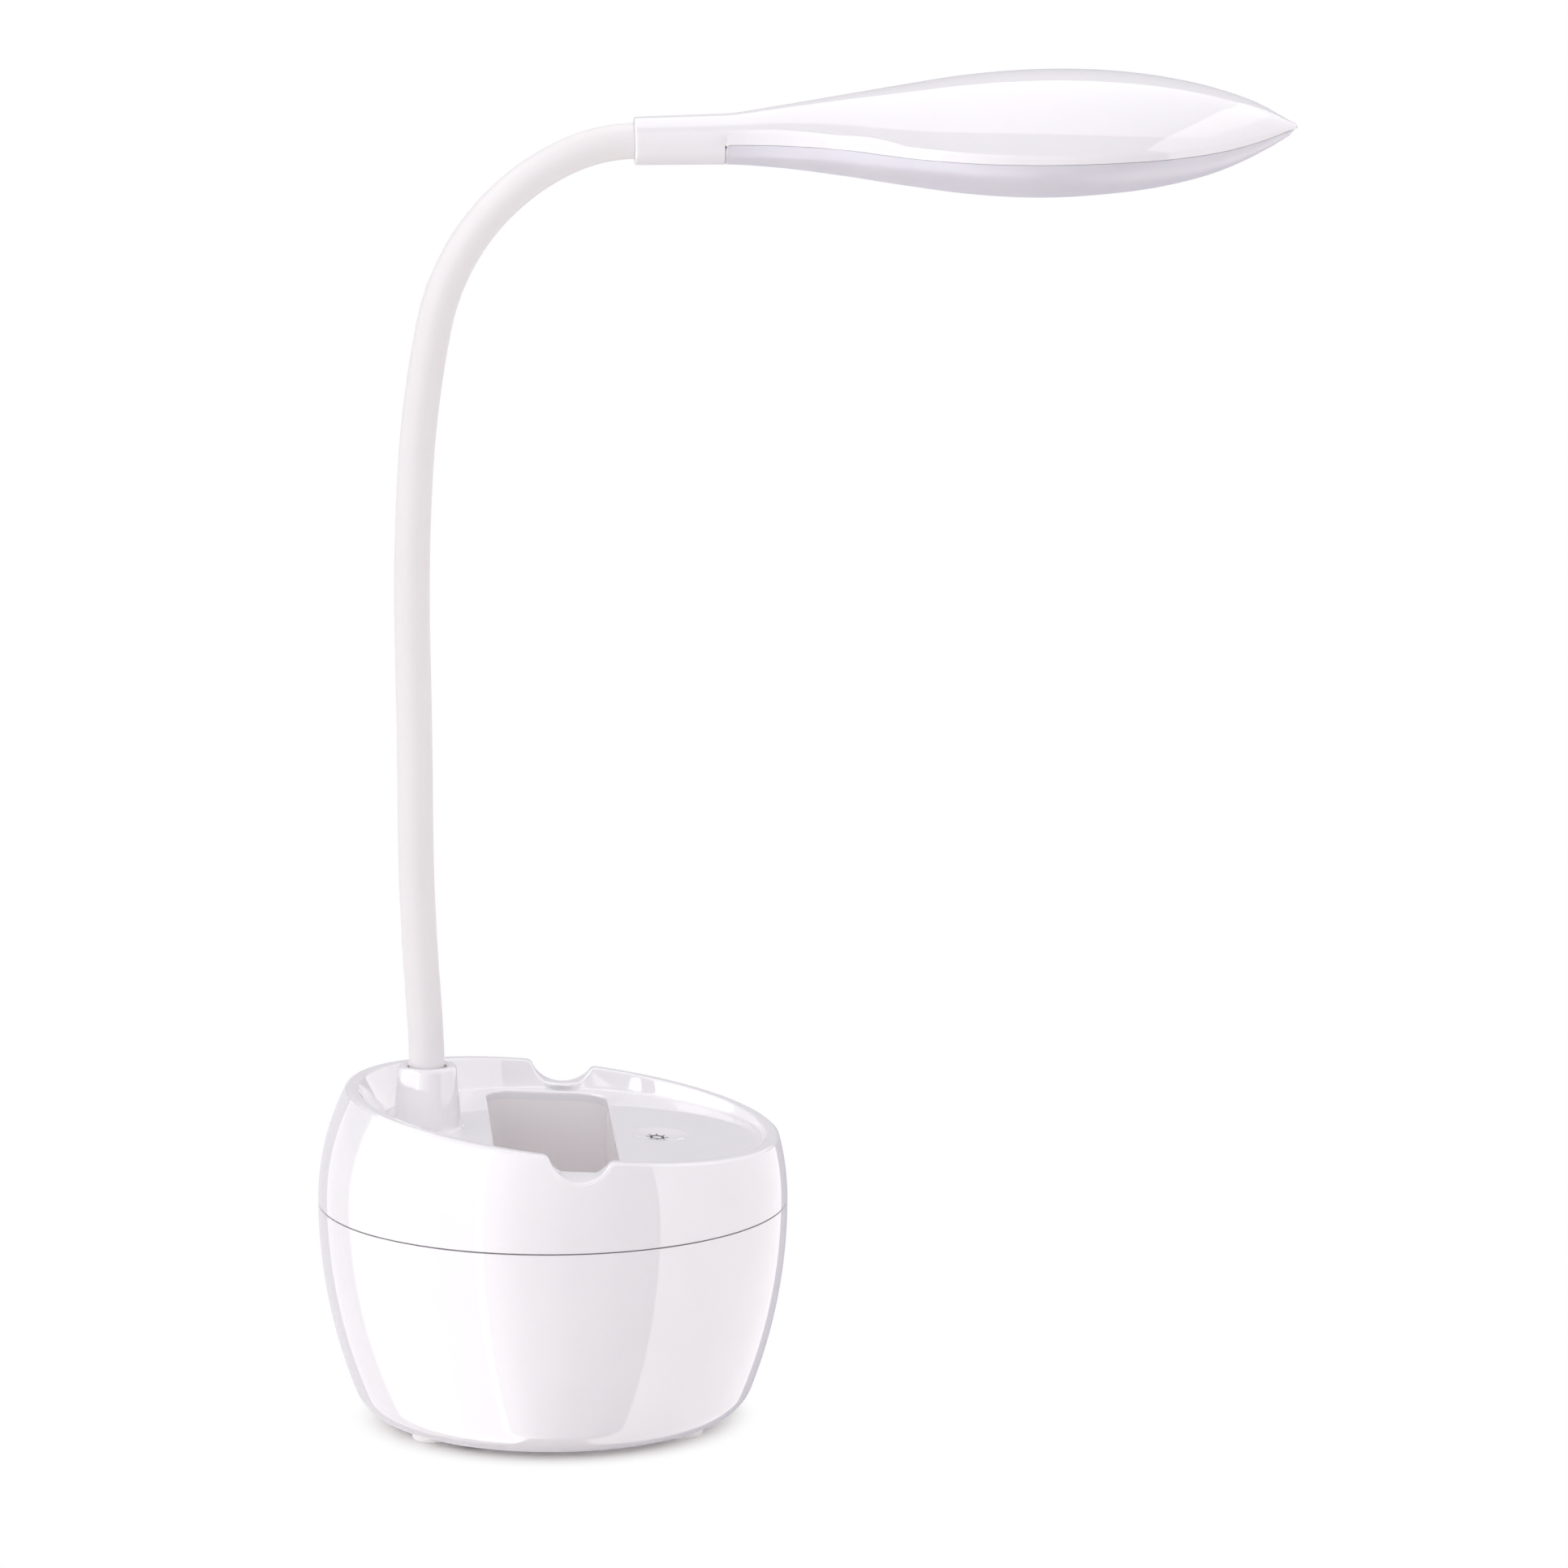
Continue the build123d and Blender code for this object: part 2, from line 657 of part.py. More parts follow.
# Ferrule that clamps the neck in the tower, and its nut under the deck
with BuildPart() as lower_ferrule:
    ferrule_shelf = neck_start - ferrule_head_length
    with BuildSketch(Plane.XY.offset(ferrule_shelf)):
        with Locations((tower_x, 0)):
            Circle(ferrule_head_radius)
    extrude(amount=ferrule_head_length - slip)
    with BuildSketch(Plane.XY.offset(ferrule_shelf - ferrule_stem_length)):
        with Locations((tower_x, 0)):
            Circle(ferrule_stem_radius)
    extrude(amount=ferrule_stem_length)
    with BuildSketch(Plane.XY.offset(neck_start - ferrule_socket)):
        with Locations((tower_x, 0)):
            Circle(core_radius + slip)
    extrude(amount=ferrule_socket, mode=Mode.SUBTRACT)
    with BuildSketch(Plane.XY.offset(ferrule_shelf - ferrule_stem_length)):
        with Locations((tower_x, 0)):
            Circle(core_bore_radius)
    extrude(amount=neck_start, mode=Mode.SUBTRACT)
save(lower_ferrule, "lower_ferrule")

with BuildPart() as ferrule_nut:
    with BuildSketch(Plane.XY.offset(tower_foot - nut_thickness)):
        with Locations((tower_x, 0)):
            RegularPolygon(nut_radius, 6)
            Circle(ferrule_stem_radius + slip / 2, mode=Mode.SUBTRACT)
    extrude(amount=nut_thickness)
save(ferrule_nut, "ferrule_nut")


def arc_point(link, distance):
    """Place and heading on a link's arc at a distance from its start, in the XZ plane."""
    (x, z), heading, length, turn = link
    bend = radians(turn) * distance / length
    chord = distance * (sin(bend / 2) / (bend / 2) if bend else 1)
    way = radians(heading) + bend / 2
    return (x + chord * sin(way), z + chord * cos(way)), heading + degrees(bend)


def arc_points(link, first, last):
    """Three points in space on a link's arc, from one distance to another."""
    places = [arc_point(link, s)[0] for s in (first, (first + last) / 2, last)]
    return [(x, 0, z) for x, z in places]


# Neck: a chain of rigid links, each an arc of the photographed curve, joined by ball-shaped knuckles
links = []
place = (tower_x, neck_start)
heading = 0.0
for share, turn in zip(neck_link_shares, neck_turns):
    links.append((place, heading, neck_length * share, turn))
    place, heading = arc_point(links[-1], neck_length * share)
collar_mouth = (place[0], 0, place[1])
head_way = (sin(radians(heading)), 0, cos(radians(heading)))
head_up = (-cos(radians(heading)), 0, sin(radians(heading)))
head_frame = Plane(origin=collar_mouth, x_dir=head_way, z_dir=head_up)
grip_end = head_frame.from_local_coords((neck_grip, 0, 0))
socket_end = head_frame.from_local_coords((neck_grip + ferrule_socket, 0, 0))
first_core_foot = (tower_x, 0, neck_start - ferrule_socket + slip)
ball_radius = neck_radius + knuckle_gap

for number, link in enumerate(links, start=1):
    length = link[2]
    start = arc_points(link, 0, length)[0]
    finish = arc_points(link, 0, length)[-1]
    way_out = radians(link[1] + link[3])
    inner_start = 0 if number == 1 else ball_radius + slip
    inner_finish = length if number == len(links) else length - slip
    with BuildPart() as neck_sleeve:
        with BuildLine() as route:
            ThreePointArc(*arc_points(link, 0, length))
            if number == len(links):
                Line(finish, grip_end)
        with BuildSketch(Plane(origin=start, z_dir=route.line % 0)):
            Circle(neck_radius)
            Circle(core_radius + slip, mode=Mode.SUBTRACT)
        sweep()
        if number < len(links):
            with Locations(Plane(origin=finish, z_dir=(sin(way_out), 0, cos(way_out)))):
                Sphere(neck_radius, arc_size1=0, align=(Align.CENTER, Align.CENTER, Align.MIN))
        if number > 1:
            with Locations(Plane(origin=start, z_dir=route.line % 0)):
                Sphere(ball_radius, mode=Mode.SUBTRACT)
    save(neck_sleeve, "neck_sleeve_" + str(number))
    with BuildPart() as neck_core:
        with BuildLine() as route:
            if number == 1:
                Line(first_core_foot, start)
            ThreePointArc(*arc_points(link, inner_start, inner_finish))
            if number == len(links):
                Line(finish, socket_end)
        with BuildSketch(Plane(origin=route.line @ 0, z_dir=route.line % 0)):
            Circle(core_radius)
            Circle(core_bore_radius, mode=Mode.SUBTRACT)
        sweep()
    save(neck_core, "neck_core_" + str(number))
    with BuildPart() as neck_lead:
        with BuildLine() as route:
            if number == 1:
                Line(first_core_foot, start)
            ThreePointArc(*arc_points(link, inner_start, inner_finish))
            if number == len(links):
                Line(finish, socket_end)
        with BuildSketch(Plane(origin=route.line @ 0, z_dir=route.line % 0)):
            Circle(lead_radius)
        sweep()
    save(neck_lead, "neck_lead_" + str(number))


def head_plane(u):
    """Cross-section plane of the head at a distance from the collar's mouth: X is +Y, Y is up."""
    return Plane(origin=head_frame.from_local_coords((u, 0, 0)), x_dir=(0, 1, 0), z_dir=head_way)


def station(i):
    """Distance, half width, dome top, band top and rim level of the leaf at a station."""
    u = collar_length + station_shares[i] * leaf_length
    half = width_shares[i] * leaf_half_width
    rim = -dip_shares[i] * rim_dip
    return u, half, dome_shares[i] * dome_height, rim + band_shares[i] * side_band, rim


def between(shares, share):
    """Value of a table of shares at a share of the leaf's length, in a straight line between stations."""
    i = max(k for k in range(len(station_shares) - 1) if station_shares[k] <= share)
    part = (share - station_shares[i]) / (station_shares[i + 1] - station_shares[i])
    return shares[i] + (shares[i + 1] - shares[i]) * part


last_station = len(station_shares) - 1
head_post_places = [collar_length + share * leaf_length for share in head_post_shares]
board_face = led_board_level + led_board_thickness

# Head shell: the leaf is the feature that takes the most skill, a dome lofted over a dipping rim
with BuildPart() as head_shell:
    for i in range(last_station + 1):
        u, half, top, band, rim = station(i)
        lean = half - side_lean * band_shares[i] * min(1, half / collar_radius)
        with BuildSketch(head_plane(u)):
            with BuildLine():
                ThreePointArc((-lean, band), (0, top), (lean, band))
                Polyline((lean, band), (half, rim), (-half, rim), (-lean, band))
            make_face()
    loft()
    for i in range(last_station - 1):
        u, half, top, band, rim = station(i)
        with BuildSketch(head_plane(u)):
            with BuildLine():
                inner = half - head_wall
                ThreePointArc((-inner, band), (0, top - head_wall), (inner, band))
                Polyline((inner, band), (inner, rim - overrun), (-inner, rim - overrun), (-inner, band))
            make_face()
    loft(mode=Mode.SUBTRACT)
    with BuildSketch(head_plane(0)):
        Circle(collar_radius)
    with BuildSketch(head_plane(collar_length)):
        Circle(collar_end_radius)
    loft(ruled=True)
    fillet(edges().filter_by(GeomType.CIRCLE).sort_by(Axis.X)[0], collar_edge_round)
    with BuildSketch(head_plane(0)):
        Circle(neck_radius + slip)
    extrude(amount=neck_grip + end_ferrule_length, mode=Mode.SUBTRACT)
    with BuildSketch(head_plane(neck_grip)):
        Circle(core_bore_radius)
    extrude(amount=collar_length, mode=Mode.SUBTRACT)
    # posts for the light board
    for place, share in zip(head_post_places, head_post_shares):
        post_top = between(dome_shares, share) * dome_height - head_wall / 2
        with BuildSketch(head_frame.offset(board_face)):
            with Locations((place, 0)):
                Circle(head_post_radius)
        extrude(amount=post_top - board_face)
        with BuildSketch(head_frame.offset(board_face)):
            with Locations((place, 0)):
                Circle(head_screw_radius)
        extrude(amount=head_screw_length, mode=Mode.SUBTRACT)
save(head_shell, "head_shell")

# Diffuser: a frosted lens that closes the leaf from below
with BuildPart() as diffuser:
    for i in range(last_station):
        u, half, top, band, rim = station(i)
        level = rim - lens_gap
        reach = half - lens_inset * min(1, half / collar_radius)
        drop = lens_shares[i] * lens_depth + level
        with BuildSketch(head_plane(u + (lens_gap if i == 0 else 0))):
            with BuildLine():
                EllipticalCenterArc((0, level), reach, drop, start_angle=180, arc_size=180)
                Line((reach, level), (-reach, level))
            make_face()
    loft()
    for i in range(last_station - 1):
        u, half, top, band, rim = station(i)
        level = rim - lens_gap
        reach = half - lens_inset * min(1, half / collar_radius) - lens_wall
        drop = lens_shares[i] * lens_depth + level - lens_wall
        with BuildSketch(head_plane(u + (lens_wall if i == 0 else 0))):
            with BuildLine():
                EllipticalCenterArc((0, level), reach, drop, start_angle=180, arc_size=180)
                Polyline((reach, level), (reach, level + overrun), (-reach, level + overrun), (-reach, level))
            make_face()
    loft(mode=Mode.SUBTRACT)
save(diffuser, "diffuser")

# Light board: an aluminium board that follows the leaf, with two rows of chips underneath
board_stations = [
    i for i in range(last_station) if led_board_first_share <= station_shares[i] <= led_board_last_share
]
with BuildPart() as led_board:
    with BuildSketch(head_frame.offset(led_board_level)):
        with BuildLine():
            near = [(station(i)[0], -led_board_width_share * station(i)[1]) for i in board_stations]
            far = [(u, -y) for u, y in reversed(near)]
            Spline(*near)
            Line(near[-1], far[0])
            Spline(*far)
            Line(far[-1], near[0])
        make_face()
        with Locations(*[(place, 0) for place in head_post_places]):
            Circle(head_screw_radius + slip, mode=Mode.SUBTRACT)
    extrude(amount=led_board_thickness)
save(led_board, "led_board")

led_span = (led_last_share - led_first_share) * leaf_length
led_middle = collar_length + (led_first_share + led_last_share) / 2 * leaf_length
with BuildPart() as led_chips:
    with BuildSketch(head_frame.offset(led_board_level - led_height)):
        with Locations((led_middle, 0)):
            with GridLocations(led_span / (led_count - 1), led_row_spacing, led_count, led_rows):
                Rectangle(led_length, led_width)
    extrude(amount=led_height)
save(led_chips, "led_chips")

with BuildPart() as head_screws:
    with BuildSketch(head_frame.offset(led_board_level - head_head_height)):
        with Locations(*[(place, 0) for place in head_post_places]):
            Circle(head_head_radius)
    extrude(amount=head_head_height)
    with BuildSketch(head_frame.offset(led_board_level)):
        with Locations(*[(place, 0) for place in head_post_places]):
            Circle(head_screw_radius - slip / 2)
    extrude(amount=head_screw_length)
save(head_screws, "head_screws")

# Ferrule crimped on the core's upper end, glued into the collar
with BuildPart() as upper_ferrule:
    with BuildSketch(head_plane(neck_grip + slip)):
        Circle(neck_radius)
    extrude(amount=end_ferrule_length - slip)
    with BuildSketch(head_plane(neck_grip)):
        Circle(core_radius + slip)
    extrude(amount=ferrule_socket + slip, mode=Mode.SUBTRACT)
    with BuildSketch(head_plane(neck_grip)):
        Circle(core_bore_radius)
    extrude(amount=collar_length, mode=Mode.SUBTRACT)
save(upper_ferrule, "upper_ferrule")

# Lead from the neck's upper end to the light board, lying on the board's back
with BuildPart() as head_lead:
    with BuildLine() as route:
        board_start = station(board_stations[0])[0]
        lead_places = [
            (neck_grip + ferrule_socket + slip, 0, 0),
            (board_start - 2 * head_lead_run, 0, 0),
            (board_start - head_lead_run, 0, board_face + cable_radius),
            (board_start + head_lead_run, 0, board_face + cable_radius),
        ]
        FilletPolyline(*[head_frame.from_local_coords(p) for p in lead_places], radius=lead_bend)
    with BuildSketch(Plane(origin=route.line @ 0, z_dir=route.line % 0)):
        Circle(cable_radius)
    sweep()
save(head_lead, "head_lead")

# Leads in the base: under the pen well and up the sides to the control board's underside
cable_level = ballast_top + cable_radius + slip
cell_end = cell_length / 2 + slip
cable_top = board_level - board_cable_gap
cable_rise_x = board_left + cable_rise_inset
cable_side = sqrt(cell_reach**2 - cell_x**2) - cable_wall_gap
pad_reach_x = board_width / 2 - pad_inset
pad_reach_y = board_length / 2 - pad_end_inset
minus_pad_x = board_x + board_width / 2 - minus_pad_inset
socket_turn_x = board_left + socket_pad_inset
socket_reach = lower_radius(port_level) - shell_wall
socket_turn_y = sqrt(socket_reach**2 - socket_turn_x**2) - socket_wall_gap
lead_routes = {
    "neck_cable": [
        (tower_x, 0, neck_start - ferrule_socket),
        (tower_x, 0, cable_level),
        (cable_turn_x, -cable_side, cable_level),
        (cable_rise_x, -cable_side, cable_level),
        (cable_rise_x, -cable_side, cable_top),
        (board_x, -pad_reach_y, cable_top),
        (board_x, -pad_reach_y, board_level),
    ],
    "plus_lead": [
        (cell_x, cell_end + cell_button_height, cell_level),
        (cell_x, cable_side, cell_level),
        (cell_x, cable_side, cable_top),
        (board_x - pad_reach_x, pad_reach_y, cable_top),
        (board_x - pad_reach_x, pad_reach_y, board_level),
    ],
    "minus_lead": [
        (cell_x, -cell_end, cell_level),
        (cell_x, -cable_side, cell_level),
        (cell_x, -cable_side, cable_top),
        (minus_pad_x, -pad_reach_y, cable_top),
        (minus_pad_x, -pad_reach_y, board_level),
    ],
    "socket_lead": [
        (socket_lead_x, board_end - port_board_length + cable_radius, port_level),
        (socket_turn_x, socket_turn_y, port_level),
        (socket_turn_x, socket_turn_y, cable_top),
        (socket_turn_x, 0, cable_top),
        (socket_turn_x, 0, board_level),
    ],
}
for name, places in lead_routes.items():
    with BuildPart() as lead:
        with BuildLine() as route:
            FilletPolyline(*places, radius=lead_bend)
        with BuildSketch(Plane(origin=route.line @ 0, z_dir=route.line % 0)):
            Circle(cable_radius)
        sweep()
    save(lead, name)
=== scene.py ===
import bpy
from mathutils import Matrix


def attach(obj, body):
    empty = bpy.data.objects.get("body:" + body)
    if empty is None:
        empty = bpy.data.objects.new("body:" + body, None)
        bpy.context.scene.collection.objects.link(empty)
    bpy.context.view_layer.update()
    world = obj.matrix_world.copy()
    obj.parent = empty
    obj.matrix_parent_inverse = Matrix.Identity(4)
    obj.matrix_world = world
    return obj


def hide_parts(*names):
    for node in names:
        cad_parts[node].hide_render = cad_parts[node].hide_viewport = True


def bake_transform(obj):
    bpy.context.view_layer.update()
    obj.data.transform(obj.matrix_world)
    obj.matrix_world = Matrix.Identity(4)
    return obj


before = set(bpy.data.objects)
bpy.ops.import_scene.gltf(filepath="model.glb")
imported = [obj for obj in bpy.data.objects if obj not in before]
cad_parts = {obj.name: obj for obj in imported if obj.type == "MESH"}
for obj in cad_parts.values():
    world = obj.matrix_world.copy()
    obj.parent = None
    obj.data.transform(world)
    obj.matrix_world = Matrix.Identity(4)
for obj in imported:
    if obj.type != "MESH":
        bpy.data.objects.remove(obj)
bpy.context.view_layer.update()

from math import acos, asin, atan2, cos, degrees, pi, radians, sin, sqrt, tan
import bpy
import bmesh
from mathutils import Vector

mm = 0.001  # sizes below are in millimetres
print("frame loaded:", len(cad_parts), "nodes")


def toLinear(hexColour):
    # sRGB hex to the linear colour that a shader takes
    parts = [int(hexColour[i:i + 2], 16) / 255 for i in (1, 3, 5)]
    return [c / 12.92 if c <= 0.04045 else ((c + 0.055) / 1.055) ** 2.4 for c in parts] + [1.0]


def addNode(tree, kind, settings=None, links=None):
    # one node with its settings (inputs or properties) and its links, each given as input: source socket
    node = tree.nodes.new(kind)
    for name, value in (settings or {}).items():
        if isinstance(name, int) or name in node.inputs:
            node.inputs[name].default_value = value
        else:
            setattr(node, name, value)
    for name, source in (links or {}).items():
        tree.links.new(source, node.inputs[name])
    return node


def newMaterial(name):
    # an empty node tree with its output
    material = bpy.data.materials.new(name)
    material.use_nodes = True
    material.node_tree.nodes.clear()
    return material, material.node_tree, addNode(material.node_tree, "ShaderNodeOutputMaterial")


def mottledColour(tree, place, first, second, featureMm, detail=3.0):
    # two close tones of one colour, spread by noise whose features have a real size
    cloud = addNode(tree, "ShaderNodeTexNoise", {"Scale": 1 / (featureMm * mm), "Detail": detail},
                    {"Vector": place})
    ramp = addNode(tree, "ShaderNodeValToRGB", links={"Fac": cloud.outputs["Fac"]})
    ramp.color_ramp.elements[0].position = 0.35
    ramp.color_ramp.elements[0].color = toLinear(first)
    ramp.color_ramp.elements[1].position = 0.65
    ramp.color_ramp.elements[1].color = toLinear(second)
    return ramp.outputs["Color"]


def surfaceGrain(tree, place, featureMm, heightMm, detail=2.0):
    # bump from noise with a feature size and a height, both real
    grain = addNode(tree, "ShaderNodeTexNoise", {"Scale": 1 / (featureMm * mm), "Detail": detail},
                    {"Vector": place})
    bump = addNode(tree, "ShaderNodeBump", {"Strength": 1.0, "Distance": heightMm * mm},
                   {"Height": grain.outputs["Fac"]})
    return bump.outputs["Normal"]


def roughBand(tree, place, featureMm, low, high):
    # roughness that wanders between two values
    patch = addNode(tree, "ShaderNodeTexNoise", {"Scale": 1 / (featureMm * mm), "Detail": 4.0},
                    {"Vector": place})
    spread = addNode(tree, "ShaderNodeMapRange", {"To Min": low, "To Max": high},
                     {"Value": patch.outputs["Fac"]})
    return spread.outputs["Result"]


def surfaceMaterial(name, tones, featureMm, rough, grain, settings):
    # colour, roughness and bump from real sizes; what is the same all over is set on the shader itself
    material, tree, output = newMaterial(name)
    place = addNode(tree, "ShaderNodeTexCoord").outputs["Object"]
    shader = addNode(tree, "ShaderNodeBsdfPrincipled", settings, {
        "Base Color": mottledColour(tree, place, tones[0], tones[1], featureMm),
        "Roughness": roughBand(tree, place, rough[0], rough[1], rough[2]),
        "Normal": surfaceGrain(tree, place, grain[0], grain[1])})
    tree.links.new(shader.outputs["BSDF"], output.inputs["Surface"])
    return material


# ABS, injection moulded in a polished tool: milky white with a sharp reflection, and the faint waviness
# that a thick wall shows; waves 9 mm apart and 2 microns high
glossAbs = surfaceMaterial("Moulded gloss white ABS", ("#ECEAED", "#EEECEF"), 26.0, (6.0, 0.015, 0.03),
                           (9.0, 0.002), {"IOR": 1.54, "Subsurface Weight": 0.05,
                                          "Subsurface Scale": 0.6 * mm})
# the same ABS inside the well, where dust and pen tips have dulled the tool's polish; its tone is painted
# lighter than the shell's, a painted fill against the shade deep in the well
lightenedWellAbs = surfaceMaterial("Moulded white ABS, well liner", ("#F5F1F2", "#F7F3F4"), 18.0, (5.0, 0.2, 0.3),
                          (2.5, 0.003), {"IOR": 1.54})
# silicone rubber, extruded: satin white with a soft sheen and fine die lines too small to count
satinSilicone = surfaceMaterial("Extruded satin silicone", ("#EBE8E9", "#EDEAEB"), 40.0, (12.0, 0.34, 0.4),
                                (0.9, 0.001), {"IOR": 1.41, "Specular IOR Level": 0.25, "Sheen Weight": 0.03,
                                               "Sheen Roughness": 0.4, "Subsurface Weight": 0.08,
                                               "Subsurface Scale": 0.8 * mm})
# opal polycarbonate, moulded with a spark-eroded inner face, soft gloss outside; its milky white is painted
# down to a lavender-grey, painted shade for its downward-facing side
shadedOpalPolycarbonate = surfaceMaterial("Moulded opal polycarbonate", ("#D4D2DB", "#D7D5DE"), 12.0,
                                    (5.0, 0.32, 0.4), (1.2, 0.002),
                                    {"IOR": 1.585, "Subsurface Weight": 0.2, "Subsurface Scale": 1.4 * mm})
# thermoplastic rubber feet: off-white and satin, a little dusty
paleRubber = surfaceMaterial("Moulded pale rubber", ("#F2F1F1", "#F6F5F5"), 3.0, (1.5, 0.4, 0.55),
                             (0.4, 0.01), {"IOR": 1.45})
# screen-printed epoxy ink in the dish: near black, slightly raised and matt
printedInk = surfaceMaterial("Screen-printed black ink", ("#0E0D10", "#161518"), 0.5, (0.3, 0.45, 0.6),
                             (0.15, 0.004), {"IOR": 1.5})
print("visible finishes made")


def addRow(bm, points):
    # a row of vertices, from points in millimetres
    return [bm.verts.new(Vector(p) * mm) for p in points]


def bridgeRows(bm, rows, closed=True):
    # quads between rows that follow each other
    for near, far in zip(rows, rows[1:]):
        count = len(near) if closed else len(near) - 1
        for k in range(count):
            n = (k + 1) % len(near)
            corners = [near[k], near[n], far[n], far[k]]
            kept = [v for i, v in enumerate(corners) if v not in corners[:i]]
            if len(kept) > 2:
                bm.faces.new(kept)


def fillBetween(bm, loops):
    # flat fill inside the first loop and outside the others
    edges = []
    for loop in loops:
        for a, b in zip(loop, loop[1:] + loop[:1]):
            edges.append(bm.edges.get((a, b)) or bm.edges.new((a, b)))
    bmesh.ops.triangle_fill(bm, use_beauty=True, edges=edges)


def makePiece(name, bm, material, body=None, replaced=(), sharpAngle=38.0):
    # closes a mesh: welded, normals outward, smooth with crisp edges, riding on its body
    bmesh.ops.remove_doubles(bm, verts=bm.verts, dist=0.002 * mm)
    bmesh.ops.dissolve_degenerate(bm, edges=bm.edges, dist=0.001 * mm)
    bmesh.ops.recalc_face_normals(bm, faces=bm.faces)
    mesh = bpy.data.meshes.new(name)
    bm.to_mesh(mesh)
    bm.free()
    for face in mesh.polygons:
        face.use_smooth = True
    mesh.set_sharp_from_angle(angle=radians(sharpAngle))
    mesh.materials.append(material)
    piece = bpy.data.objects.new(name, mesh)
    bpy.context.scene.collection.objects.link(piece)
    if body:
        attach(piece, body)
    if replaced:
        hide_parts(*replaced)
    return piece


def quarterTurn(steps):
    # angles from 0 to a right angle
    return [pi / 2 * j / steps for j in range(steps + 1)]


def ringPoints(centre, radius, heightAt, count):
    # a horizontal circle whose height follows a function of x
    angles = [2 * pi * k / count for k in range(count)]
    places = [(centre[0] + radius * cos(a), centre[1] + radius * sin(a)) for a in angles]
    return [(x, y, heightAt(x)) for x, y in places]


def roundedBox(width, length, corner, offset, heightAt, perCorner=14, perSide=10):
    # a rounded rectangle moved outwards by an offset, on a plane whose height follows x
    halfX, halfY, r = width / 2 - corner, length / 2 - corner, corner + offset
    centres = ((halfX, halfY), (-halfX, halfY), (-halfX, -halfY), (halfX, -halfY))
    points = []
    for quarter, (cx, cy) in enumerate(centres):
        for k in range(perCorner + 1):
            a = radians(90 * quarter + 90 * k / perCorner)
            points.append((cx + r * cos(a), cy + r * sin(a)))
        nextX, nextY = centres[(quarter + 1) % 4]
        a = radians(90 * quarter + 90)
        start = points[-1]
        end = (nextX + r * cos(a), nextY + r * sin(a))
        for k in range(1, perSide):
            points.append((start[0] + (end[0] - start[0]) * k / perSide,
                           start[1] + (end[1] - start[1]) * k / perSide))
    return [(x, y, heightAt(x)) for x, y in points]


# Camera, at the photograph's angle
cameraSet = {"place": (-0.0969, -2.3988, 0.6455), "pitch": 78.683, "yaw": -3.724, "lens": 221.58}
cameraData = bpy.data.cameras.new("camera")
cameraData.lens = cameraSet["lens"]
cameraData.sensor_width = 36.0
cameraData.clip_end = 50.0
camera = bpy.data.objects.new("camera", cameraData)
camera.location = cameraSet["place"]
camera.rotation_euler = (radians(cameraSet["pitch"]), 0, radians(cameraSet["yaw"]))
bpy.context.scene.collection.objects.link(camera)
bpy.context.scene.camera = camera

# Upper shell of the bowl: outer wall, tilted rim with two notches, basin, deck, tower and touch dish
upperBowl = {
    "radius": 60.0, "seam": 57.2, "bow": 64.0, "wall": 2.6, "groove": 0.12, "slot": 0.17,
    "rimRise": 23.9, "rimDrop": 6.85, "rimRound": 1.2,
    "mouthRadius": 52.3, "mouthShift": 2.5,
    "deckRise": 17.8, "deckDrop": 2.98, "deckWall": 2.4, "basinRadius": 49.0, "basinShift": 4.8,
    "basinRound": 0.9, "flatEdge": 0.15,
    "notchRadius": 8.2, "notchSill": 0.3, "notchShoulder": 2.2,
    "arcSamples": 150, "notchSamples": 34, "shoulderSamples": 9,
    # rows up the wall, round the rim, down the basin's wall and round its foot
    "wallRows": 26, "rimRows": 7, "basinRows": 10, "footRows": 5,
    # where the basin is shallow, the rounds take at most these shares of its height
    "rimShare": 0.75, "footShare": 0.4,
}
well = {"width": 31.2, "length": 88.0, "corner": 7.0, "lipRound": 0.7, "floor": 13.9, "floorRound": 3.0,
        "floorEdge": 0.2, "lipRows": 6, "wallRows": 8, "floorRows": 8}
tower = {"x": -31.9, "top": 92.7, "topRadius": 7.45, "lean": 0.0789, "edgeRound": 1.3, "baseRound": 0.9,
         "bore": 5.1, "mouth": 0.5, "mouthFlat": 0.1, "mouthDip": 0.02, "boreFloor": 78.0,
         "baseRows": 5, "sideRows": 8, "topRows": 8}
dish = {"x": 27.5, "radius": 7.05, "depth": 0.9, "edgeRound": 0.35, "edgeShare": 0.3,
        "edgeSinks": (0.02, 0.07), "rings": 11}
deckAround = 96  # points round the tower and the dish
rimTilt = radians(upperBowl["rimDrop"])
deckTilt = radians(upperBowl["deckDrop"])
rimUp = Vector((sin(rimTilt), 0, cos(rimTilt)))
deckUp = Vector((sin(deckTilt), 0, cos(deckTilt)))
deckAlong = Vector((cos(deckTilt), 0, -sin(deckTilt)))


def bowlRadiusAt(z):
    s = upperBowl
    return s["radius"] - s["bow"] + sqrt(s["bow"] ** 2 - (z - s["seam"]) ** 2)


def rimHeight(x):
    return upperBowl["seam"] + upperBowl["rimRise"] - x * tan(rimTilt)


def deckHeight(x):
    return upperBowl["seam"] + upperBowl["deckRise"] - x * tan(deckTilt)


def underDeck(x):
    return deckHeight(x) - upperBowl["deckWall"]


def mouthPoint(angle):
    u = upperBowl["mouthShift"] + upperBowl["mouthRadius"] * cos(angle)
    across = upperBowl["mouthRadius"] * sin(angle)
    return Vector((u * cos(rimTilt), across, rimHeight(0) - u * sin(rimTilt)))


def basinPoint(angle):
    u = upperBowl["basinShift"] + upperBowl["basinRadius"] * cos(angle)
    across = upperBowl["basinRadius"] * sin(angle)
    return Vector((u * cos(deckTilt), across, deckHeight(0) - u * sin(deckTilt)))


